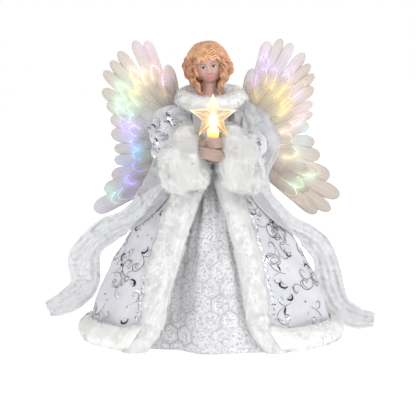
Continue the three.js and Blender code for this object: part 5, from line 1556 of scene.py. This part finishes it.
class ANGEL_OT_gown(bpy.types.Operator):
    """Brocade gown seen between the coat fronts"""

    bl_idname = "angel.gown"
    bl_label = "Gown"

    def execute(self, context):
        settings = context.scene.angel_garments
        low, high = 0.7, 188.0

        def surface(u, v):
            return gown_at((u - 0.5) * TAU, low + (high - low) * v)

        def cloth_map(u, v):
            return (u - 0.5) * TAU * 0.083, v * 0.19

        gown = cloth_grid("gown", 288, 60, surface, cloth_map, closed=True)
        points = places_of(gown)
        turn = np.arctan2(points[:, 0], -points[:, 1])
        # Painted shade left of the middle and painted light right of it, stored as the gown's tone.
        shadow = smooth(-0.07, -0.2, turn) * smooth(-0.9, -0.6, turn)
        tone = 1 - 0.05 * shadow + 0.14 * smooth(0.1, 0.3, turn)
        colour_points(gown, "tone", np.stack([tone] * 3, 1))
        dressed(thick_cloth(gown, settings.cloth), brocade_finish(settings), "gown", "figure", "gown")
        return {"FINISHED"}


class ANGEL_OT_coat(bpy.types.Operator):
    """Open coat with its foil scrolls"""

    bl_idname = "angel.coat"
    bl_label = "Coat"

    def execute(self, context):
        settings = context.scene.angel_garments
        low = 2.2

        def surface(u, v):
            z = low + (WAIST - low) * v
            return coat_at(coat_span(u, z), z)

        def cloth_map(u, v):
            return (u - 0.5) * 0.62, v * 0.2

        coat = cloth_grid("coat", 300, 64, surface, cloth_map)
        dressed(thick_cloth(coat, settings.cloth), coat_finish(settings), "coat", "figure", "coat")
        foils = self.scrolls()
        for foil, tone in zip(foils, FOIL_TONES):
            dressed(foil, foil_finish(*tone), "coat", "figure")
        return {"FINISHED"}

    @staticmethod
    def scrolls():
        """Scrolls over both panels and the back, and broken lines of foil beside the front furs."""
        rng = np.random.default_rng(5)
        made = []
        for height, size in ((44, 1.25), (72, 1.2), (99, 1.05), (122, 0.85), (142, 0.7), (158, 0.5)):
            z = np.array([float(height)])
            start = beside_edge(1, z, FUR_WIDE / 2 + 7)[0]
            end = beside_edge(-1, z, FUR_WIDE / 2 + 7)[0] + TAU
            speed = float(round_speed(np.array([math.pi / 2]), z)[0])
            count = max(4, int((end - start) * speed / (22 * size)))
            for k in range(count):
                turn = start + (end - start) * (k + 0.5 + rng.uniform(-0.2, 0.2)) / count
                level, way = height + rng.uniform(-4, 4), rng.uniform(0, TAU)
                made.append((turn, level, sprig(rng, np.zeros(2), way, size, size * 1.05)))
        for side in (-1, 1):
            for height in np.arange(30, 160, 5.2):
                z = np.array([float(height)])
                turn = beside_edge(side, z, FUR_WIDE / 2 * 0.95 + rng.uniform(2.0, 4.5))[0]
                lean = math.pi / 2 + side * 0.2
                # Each dash is a painted glint with a painted dark reflection beside it.
                pale = leaf(np.zeros(2), lean, rng.uniform(2.5, 5.0), rng.uniform(0.9, 1.7))
                aside = np.array([side * 1.4, rng.uniform(-2, 2)])
                deep = leaf(aside, lean, rng.uniform(2.0, 4.0), rng.uniform(0.5, 1.0))
                made.append((turn, height, ([], [deep], [pale])))
        pieces = ([], [], [])
        for number, (turn, height, strokes) in enumerate(made):
            speed = float(round_speed(np.array([turn]), np.array([float(height)]))[0])

            def place(flat, turn=turn, height=height, speed=speed):
                z = np.clip(height + flat[:, 1] * 0.9, 3, 174)
                around = turn + flat[:, 0] / speed
                return coat_at(around, z) + way_out(coat_at, around, z) * 0.4

            for kept, lines in zip(pieces, strokes):
                if lines:
                    kept.append(foil_strips(f"foil_{number}", lines, place))
        return [joined(f"coat_{tone[0]}", kept) for tone, kept in zip(FOIL_TONES, pieces)]


class ANGEL_OT_upper_coat(bpy.types.Operator):
    """Bodice and sleeves of the coat"""

    bl_idname = "angel.upper_coat"
    bl_label = "Bodice and sleeves"

    def execute(self, context):
        settings = context.scene.angel_garments
        finish, crinkled = coat_finish(settings), coat_finish(settings, "sleeve_taffeta", 7.0)
        paints = [foil_finish("sleeve_" + tone[0], *tone[1:]) for tone in FOIL_TONES]

        def bodice_at(u, v):
            turn = TAU * u
            tube = np.stack([np.cos(turn) * 22, np.sin(turn) * 18, v * 55], -1)
            dent = 0.6 * ripple(tube, 16.0, 81) + 0.9 * np.cos(17 * turn + 3 * v)
            gathered = smooth(0.84, 1.0, v)
            wide = 26.0 - 2.5 * (v**2.4 + 2.6 * gathered) + dent
            deep = 19.0 - 0.4 * v**2.4 + dent * 0.2 - 5.0 * gathered
            return np.stack([wide * np.cos(turn), deep * np.sin(turn), WAIST + 0.5 + 65.5 * v], -1)

        def sleeve_map(u, v):
            return u * SLEEVE_ROUND * MM, v * SLEEVE_LONG * MM

        bodice = cloth_grid("bodice", 72, 24, bodice_at, lambda u, v: (u * 0.14, v * 0.065), closed=True)
        dressed(thick_cloth(bodice, settings.cloth), finish, "coat", "figure", "bodice")
        for name, side in SIDES.items():
            sleeve = cloth_grid(f"{name}_sleeve", 64, 56, sleeve_surface(side), sleeve_map, closed=True)
            dressed(thick_cloth(sleeve, settings.cloth), crinkled, "coat", "figure", f"{name}_sleeve")
            rng = np.random.default_rng(91 + side)
            proud = sleeve_surface(side, 0.4)

            def place(flat, proud=proud):
                return proud((flat[:, 0] / SLEEVE_ROUND) % 1.0, np.clip(flat[:, 1] / SLEEVE_LONG, 0.03, 0.97))

            strokes = ([], [], [])
            for _ in range(19):
                start = np.array([rng.uniform(0, SLEEVE_ROUND), rng.uniform(8, 66)])
                for kept, lines in zip(strokes, sprig(rng, start, rng.uniform(0, TAU), 0.45, 0.9)):
                    kept += lines
            for lines, paint, tone in zip(strokes, paints, FOIL_TONES):
                strips = foil_strips(f"{name}_sleeve_{tone[0]}", lines, place)
                dressed(strips, paint, "coat", "figure")
        return {"FINISHED"}


class ANGEL_OT_fur(bpy.types.Operator):
    """Plush trims: collar, cuffs, fronts and hem, each with its pile"""

    bl_idname = "angel.fur"
    bl_label = "Fur trims"

    def execute(self, context):
        settings = context.scene.angel_fur
        finish = fur_finish(settings)
        trims = [
            ("hem_fur", closed_roll("hem_fur", 24, 240, hem_fur_surface), 101, PILES["hem_fur"]),
            ("collar", closed_roll("collar", 32, 96, collar_surface), 102, PILES["collar"]),
        ]
        for name, side in SIDES.items():
            front = closed_roll(f"{name}_front_fur", 28, 120, front_fur_surface(side))
            trims.append((f"{name}_front_fur", front, 103 + side, PILES["front_fur"]))
            cuff = closed_roll(f"{name}_cuff", 64, 56, cuff_surface(side))
            trims.append((f"{name}_cuff", cuff, 106 + side, PILES["cuff"]))
        for name, base, seed, kind in trims:
            pile = pile_on(f"{name}_pile", base, settings, seed, kind)
            dressed(base, finish, "fur", "figure", name)
            dressed(pile, finish, "fur", "figure")
        return {"FINISHED"}


class ANGEL_OT_stole(bpy.types.Operator):
    """Both tails of the sheer stole"""

    bl_idname = "angel.stole"
    bl_label = "Stole"

    def execute(self, context):
        settings = context.scene.angel_garments
        finish = sheer_finish(settings)
        across, along = STOLE_GRID
        hem = np.tile(smooth(0.93, 1.0, np.abs(np.linspace(-1, 1, across + 1))), along + 1)
        tails = (("left", LEFT_STOLE, 0.27, 111), ("right", RIGHT_STOLE, 0.37, 115))
        for name, places, length, seed in tails:
            surface = stole_surface(places, seed)
            tail = cloth_grid(f"{name}_stole", across, along, surface, lambda u, v: (u * 0.03, v * length))
            colour_points(tail, "hem", np.stack([hem] * 3, 1))
            modify(tail, "SOLIDIFY", thickness=settings.ribbon, offset=-1.0)
            dressed(smooth_faces(tail), finish, "sheer", "figure", f"{name}_stole")
        return {"FINISHED"}


class ANGEL_OT_head(bpy.types.Operator):
    """Head with its neck and painted face"""

    bl_idname = "angel.head"
    bl_label = "Head"

    def execute(self, context):
        settings = context.scene.angel_head
        skull, d = sphere_piece("head", 180, 130)
        local = head_form(turned_about(d, "x", 90))
        move_to(skull, head_posed(local))
        colour_points(skull, "paint", face_paint(local, settings))

        def neck_at(u, v):
            """Slender neck that spreads into the shoulder plate at its foot."""
            turn = TAU * u
            z = 232.4 + 46.0 * v
            radius = 6.4 + 9.0 * (1 - smooth(241.0, 256.0, z))
            return np.stack([radius * np.cos(turn) - 1.0 - v, radius * 0.95 * np.sin(turn) + 1.5 * v, z], -1)

        neck = closed_roll("neck", 48, 32, neck_at)
        # Painted light: the neck is painted lighter than the face's skin.
        colour_points(neck, "paint", np.tile(np.array(settings.skin) * 1.18, (len(neck.data.vertices), 1)))
        head = joined("head", [skull, neck])
        dressed(smooth_faces(head), painted_finish("painted_skin", 0.48, 0.12), "skin", "figure", "head")
        return {"FINISHED"}


class ANGEL_OT_hair(bpy.types.Operator):
    """Moulded hair: waves over the crown, zig-zag fringe, ringlets at the sides and back"""

    bl_idname = "angel.hair"
    bl_label = "Hair"

    def execute(self, context):
        settings = context.scene.angel_head
        cap, d = sphere_piece("hair", 224, 140)
        d = turned_about(d, "x", 90)
        turn = np.arctan2(d[:, 0], -d[:, 1])
        fall = np.arccos(np.clip(d[:, 2], -1, 1))
        flow = np.sin(56 * turn + 2.0 * np.sin(6 * fall) + 3 * np.sin(2 * turn))
        wave = np.sin(13 * fall + 1.5 * np.sin(5 * turn))
        open_face = smooth(0.82, 0.62, np.abs(turn)) * smooth(0.26, 0.1, d[:, 2])
        under = smooth(-0.55, -0.8, d[:, 2]) * smooth(-0.5, 0.2, -d[:, 1])
        grow = (0.28 * flow + 0.55 * wave * smooth(0.7, 1.3, fall)) * smooth(0.0, 0.35, fall)
        local = hair_ball(d) * (1 - 0.42 * np.maximum(open_face, under))[:, None] + d * grow[:, None]
        move_to(cap, head_posed(local))
        # Painted shade: the cap is darker where its waves and flow dip.
        shade = np.clip(0.88 + 0.16 * flow + 0.14 * wave, 0.4, 1.15)
        colour_points(cap, "paint", np.array(settings.hair) * shade[:, None])
        locks, sides = self.locks(), 10
        curls = tubes("hair_locks", locks, sides, 0.9)
        place = places_of(curls) - HEAD_AT
        # Painted shade on the lower side locks, deeper on the left.
        depth = np.where(place[:, :1] < 0, np.array([0.45, 0.6, 0.66]), np.array([0.27, 0.3, 0.32]))
        aside = 1 - (smooth(8.0, 14.0, np.abs(place[:, 0])) * smooth(9.0, -4.0, place[:, 2]))[:, None] * depth
        rng = np.random.default_rng(141)
        tone = np.concatenate([np.full(sides * len(path) + 2, rng.uniform(0.78, 1.18)) for path, _ in locks])
        tone = tone + 0.12 * ripple(places_of(curls), 5.0, 121)
        colour_points(curls, "paint", np.array(settings.hair) * np.clip(tone, 0.45, 1.3)[:, None] * aside)
        hair = joined("hair", [cap, curls])
        dressed(smooth_faces(hair), hair_finish(settings), "hair", "figure", "hair")
        return {"FINISHED"}

    @staticmethod
    def locks():
        """Fringe rows, crown waves and ringlets, as posed paths and radii."""
        made = []

        def lay(path, radius, taper, tipped=True):
            s = np.linspace(0, 1, len(path))
            posed = head_posed(path) if tipped else path + HEAD_AT
            made.append((posed, radius * (1 - taper * np.abs(2 * s - 1) ** 3)))

        rng = np.random.default_rng(131)
        for row in range(5):
            x = np.linspace(-13.5, 13.5, 90)
            z = 5.1 + 2.2 * row - 0.018 * x**2 + 1.15 * np.sin(TAU * x / 7.6 + 0.7 * row)
            y = -np.sqrt(np.maximum(0, 1 - (x / HAIR_HALF) ** 2 - (z / HAIR_HIGH) ** 2)) * HAIR_FRONT - 0.2
            lay(np.stack([x, y, z], -1), 1.45, 0.5)
        crown_locks = 46
        for k in range(crown_locks):
            turn = 0.75 + (TAU - 1.5) * (k + 0.5) / crown_locks
            fall = np.linspace(0.25, 1.7, 34)
            swing = turn + 0.05 * np.sin(6.0 * fall + 0.7 * k) + 0.03 * rng.normal()
            ball = np.stack([np.sin(swing) * np.sin(fall), -np.cos(swing) * np.sin(fall), np.cos(fall)], -1)
            lay(hair_ball(ball, -0.5 + 0.3 * np.sin(6.0 * fall + 0.7 * k)[:, None]), 1.0, 0.6)
        waves = (
            ((-15, -5, 8), (-21, -6, 0), (-22, -7, -9), (-17.5, -8, -17)),
            ((-14, -4, 10), (-19.5, -8, -4), (-18.0, -8, -14), (-11.0, -6, -26)),
            ((-12, -6, 9), (-18.0, -11, -4), (-16.2, -11, -13), (-10.8, -9.5, -23), (-6.8, -7.5, -33)),
            ((15, -5, 8), (20, -6, 1), (23.5, -7, -7), (20, -7, -13)),
            ((14, -4, 9), (19, -8, -5), (18.0, -8, -14), (13.5, -6, -25)),
            ((12, -6, 9), (16.6, -11.5, -4), (15.8, -11, -13), (13.6, -9.5, -23), (13.0, -7.5, -33)),
            ((-19, 2, 6), (-21, 3, -5), (-16, 3, -17)), ((19, 2, 6), (21.5, 3, -5), (17, 3, -17)),
            ((-17, 8, 5), (-18, 9, -9), (-12, 9, -22)), ((17, 8, 5), (18.5, 9, -9), (13, 9, -22)),
            ((-12, 13, 4), (-12, 15, -10), (-8, 14, -24)), ((12, 13, 4), (12.5, 15, -10), (9, 14, -24)),
            ((-5, 16, 4), (-5, 17, -10), (-3, 15, -25)), ((5, 16, 4), (5.5, 17, -10), (4, 15, -25)),
        )
        steps, strands = 60, 5
        for number, places in enumerate(waves):
            middle = spline(places, steps)
            _, a, b = carried_frames(middle)
            s = np.linspace(0, 1, steps)
            length = np.linalg.norm(np.diff(middle, axis=0), axis=1).sum()
            for strand in range(strands):
                turn = TAU * strand / strands
                beat = TAU * s * length / 11.0 + 1.3 * number + 0.35 * strand
                off = a * (1.7 * math.cos(turn) + 1.5 * np.sin(beat))[:, None]
                off = off + b * (1.7 * math.sin(turn) + 1.1 * np.cos(beat))[:, None]
                path = middle + off * (1 - 0.45 * s**2)[:, None]
                lay(path, 1.45 + 0.25 * rng.uniform(), 0.35, tipped=False)
        return made


# Height, finger spacing, sideways shift, radius and slope of each hand's hold on the lamp
HOLDS = {-1: (204.2, 2.7, 1.0, 7.5, 0.1), 1: (194.3, 3.0, -3.8, 9.2, -0.2)}
HAND_TONE = (0.8, 0.92, 0.9)  # beside the skin's colour


class ANGEL_OT_hands(bpy.types.Operator):
    """Both hands, closed round the lamp one above the other"""

    bl_idname = "angel.hands"
    bl_label = "Hands"

    def execute(self, context):
        settings = context.scene.angel_head
        finish = painted_finish("painted_hands", 0.5, 0.1)
        for name, side in SIDES.items():
            level, pitch, shift, grip, slope = HOLDS[side]
            lamp = LAMP + np.array([shift, 0.0])

            def at(out, back, rise=0.0):
                return lamp[0] + side * out, lamp[1] + back, level + rise

            lines = []
            share = np.linspace(0, 1, 16)
            for finger in range(4):
                z = level + (finger - 1.5) * pitch
                end = 344 - 7 * abs(finger - 1)
                turn = np.radians(np.linspace(150, end, 16))
                reach = grip + 0.3 * np.sin(np.pi * share)
                path = np.stack([lamp[0] - side * reach * np.cos(turn), lamp[1] + reach * np.sin(turn),
                                 z - 0.35 * share**2 * (finger - 1.5)], -1)
                lines.append((path, 0.62 * pitch * (1 - 0.25 * share**2)))
            palm = spline([at(grip + 0.6, -3.8), at(grip + 2.2, 2.8), at(14, 8.5), at(21, 13.5)], 14)
            lines.append((palm, np.interp(np.linspace(0, 1, 14), [0, 0.3, 0.6, 1], [3.4, 5.3, 4.7, 4.4])))
            thumb = at(grip + 1.5, -2, 3.5), at(6.0, -grip - 0.5, 4.6), at(1.0, -grip - 1.4, 4.4)
            lines.append((spline(thumb, 12), np.linspace(2.0, 1.4, 12)))
            tilt = np.array([0.0, 0.0, slope])
            lines = [(path + np.outer(path[:, 0] - lamp[0], tilt), radii) for path, radii in lines]
            hand = tubes(f"{name}_hand", lines, 12)
            made_active(hand)
            hand.data.remesh_voxel_size = 0.0005
            bpy.ops.object.voxel_remesh()
            modify(hand, "SMOOTH", factor=0.5, iterations=7)
            points = places_of(hand)
            # Painted shade in the gaps between the fingers.
            crease = 0.9 + 0.1 * smooth(0.2, 1.2, ((points[:, 2] - level) / pitch) % 1)
            colour_points(hand, "paint", np.array(settings.skin) * np.array(HAND_TONE) * crease[:, None])
            dressed(smooth_faces(hand), finish, "skin", "figure", f"{name}_hand")
        return {"FINISHED"}


class ANGEL_OT_lamp(bpy.types.Operator):
    """Lit bulb in its amber cup, and the clear star over it"""

    bl_idname = "angel.lamp"
    bl_label = "Lamp and star"

    def execute(self, context):
        star = node_copy("star", "star")
        modify(star, "BEVEL", width=0.0004, segments=2, limit_method="ANGLE", angle_limit=math.radians(25))
        edit(star, lambda: bpy.ops.mesh.subdivide(number_cuts=5))
        self.light_star(star)
        dressed(smooth_faces(star, 20), star_finish(), "star", "star", "star")
        bulb = node_copy("bulb_glass", "bulb_glass")
        modify(bulb, "SUBSURF", levels=2, render_levels=2)
        dressed(smooth_faces(bulb), bulb_finish(), "bulb", "bulb", "bulb_glass")
        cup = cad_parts["bulb_base"]
        cup.data.materials.clear()
        cup.data.materials.append(bulb_base_finish())
        return {"FINISHED"}

    @staticmethod
    def light_star(star):
        """Colours of the star: amber faces, painted highlights along the edges and ridges, painted sparkle, a
        painted white-hot glow of the bulb in the middle and a pale top point with painted light.
        """
        points = places_of(star)
        tip, notch = 22.3, 9.8
        _, high = node_box("star")
        middle = np.array([LAMP[0], LAMP[1], high[2] - tip])
        x, z = (points - middle)[:, 0] / 1.08, (points - middle)[:, 2]
        turn = (np.arctan2(x, z) + TAU / 10) % (TAU / 5) - TAU / 10
        reach = np.hypot(x, z)
        along, off = reach * np.cos(turn), np.abs(reach * np.sin(turn))
        slope = np.array([notch * math.cos(TAU / 10) - tip, notch * math.sin(TAU / 10)])
        rim = np.abs((along - tip) * slope[1] - off * slope[0]) / np.hypot(*slope)
        # Painted light: highlights along the edges and ridges, light on the top point, sparkle round the
        # middle and the bulb's glow.
        edge = smooth(1.1, 0.2, rim) * (0.4 + 0.6 * smooth(-6.0, 6.0, z))
        ridge = smooth(0.7, 0.2, off) * 0.6
        painted_bulb_glow = np.exp(-((np.hypot(x, z + 4.0) / 5.0) ** 2))
        top = smooth(2.0, 12.0, z) * smooth(0.55, 0.35, np.abs(np.arctan2(x, z)))
        amber = np.array([0.5, 0.28, 0.08]) + np.outer(smooth(-4.0, 5.0, z), [0.16, 0.22, 0.24])
        pale = np.array([1.0, 0.9, 0.55])
        painted_sparkle = smooth(0.5, 0.9, np.sin(17 * np.arctan2(x, z) + 0.8 * reach)) * smooth(14.0, 7.0, reach) * 0.6
        share = np.clip(np.maximum(np.maximum(edge, ridge), np.maximum(0.75 * top, painted_sparkle)), 0, 1)[:, None]
        tint = amber + (pale - amber) * share
        glow = np.outer(0.3 * edge + 0.22 * top, [1.0, 0.86, 0.5]) + np.outer(1.3 * painted_bulb_glow, [1.0, 0.8, 0.4])
        cover = np.clip(0.62 - 0.2 * smooth(-4.0, 5.0, z) + 0.4 * share[:, 0] - 0.25 * painted_bulb_glow, 0.3, 1)
        colour_points(star, "tint", np.hstack([tint, cover[:, None]]))
        colour_points(star, "glow", glow)


class ANGEL_OT_wings(bpy.types.Operator):
    """Three layers of lit film feathers and the light fibres of both wings"""

    bl_idname = "angel.wings"
    bl_label = "Wings"

    def execute(self, context):
        settings = context.scene.angel_wings
        film, light = feather_finish(), fibre_finish()
        for name, side in SIDES.items():
            for layer in LAYERS:
                piece = f"{name}_{layer}_feathers"
                fan = smooth_faces(feather_fan(piece, side, layer, settings))
                dressed(fan, film, "feather", f"{name}_wing", piece)
            strands = fibre_arcs(f"{name}_wing_strands", side, settings)
            dressed(strands, light, "fibre", f"{name}_wing", f"{name}_wing_strands")
        return {"FINISHED"}


class ANGEL_PT_panel(bpy.types.Panel):
    """Lists the pieces in the order they are built"""

    bl_idname = "ANGEL_PT_panel"
    bl_label = "Angel tree topper"
    bl_space_type = "VIEW_3D"
    bl_region_type = "UI"
    bl_category = "Angel"

    def draw(self, context):
        for operator in OPERATORS:
            self.layout.operator(operator.bl_idname)
        for name in GROUPS:
            held = getattr(context.scene, name)
            for key in held.bl_rna.properties.keys():
                if key not in {"rna_type", "name"}:
                    self.layout.prop(held, key)


OPERATORS = (
    ANGEL_OT_stage,
    ANGEL_OT_inner_finishes,
    ANGEL_OT_gown,
    ANGEL_OT_coat,
    ANGEL_OT_upper_coat,
    ANGEL_OT_fur,
    ANGEL_OT_stole,
    ANGEL_OT_head,
    ANGEL_OT_hair,
    ANGEL_OT_hands,
    ANGEL_OT_lamp,
    ANGEL_OT_wings,
)
GROUPS = {
    "angel_stage": ANGEL_PG_stage,
    "angel_garments": ANGEL_PG_garments,
    "angel_fur": ANGEL_PG_fur,
    "angel_head": ANGEL_PG_head,
    "angel_wings": ANGEL_PG_wings,
}


def register():
    for group in GROUPS.values():
        bpy.utils.register_class(group)
    for name, group in GROUPS.items():
        setattr(bpy.types.Scene, name, bpy.props.PointerProperty(type=group))
    for operator in (*OPERATORS, ANGEL_PT_panel):
        bpy.utils.register_class(operator)


def unregister():
    for operator in (ANGEL_PT_panel, *reversed(OPERATORS)):
        bpy.utils.unregister_class(operator)
    for name, group in GROUPS.items():
        delattr(bpy.types.Scene, name)
        bpy.utils.unregister_class(group)


def main():
    register()
    for operator in OPERATORS:
        family, name = operator.bl_idname.split(".")
        getattr(getattr(bpy.ops, family), name)()
    deselect()


if __name__ == "__main__":
    main()
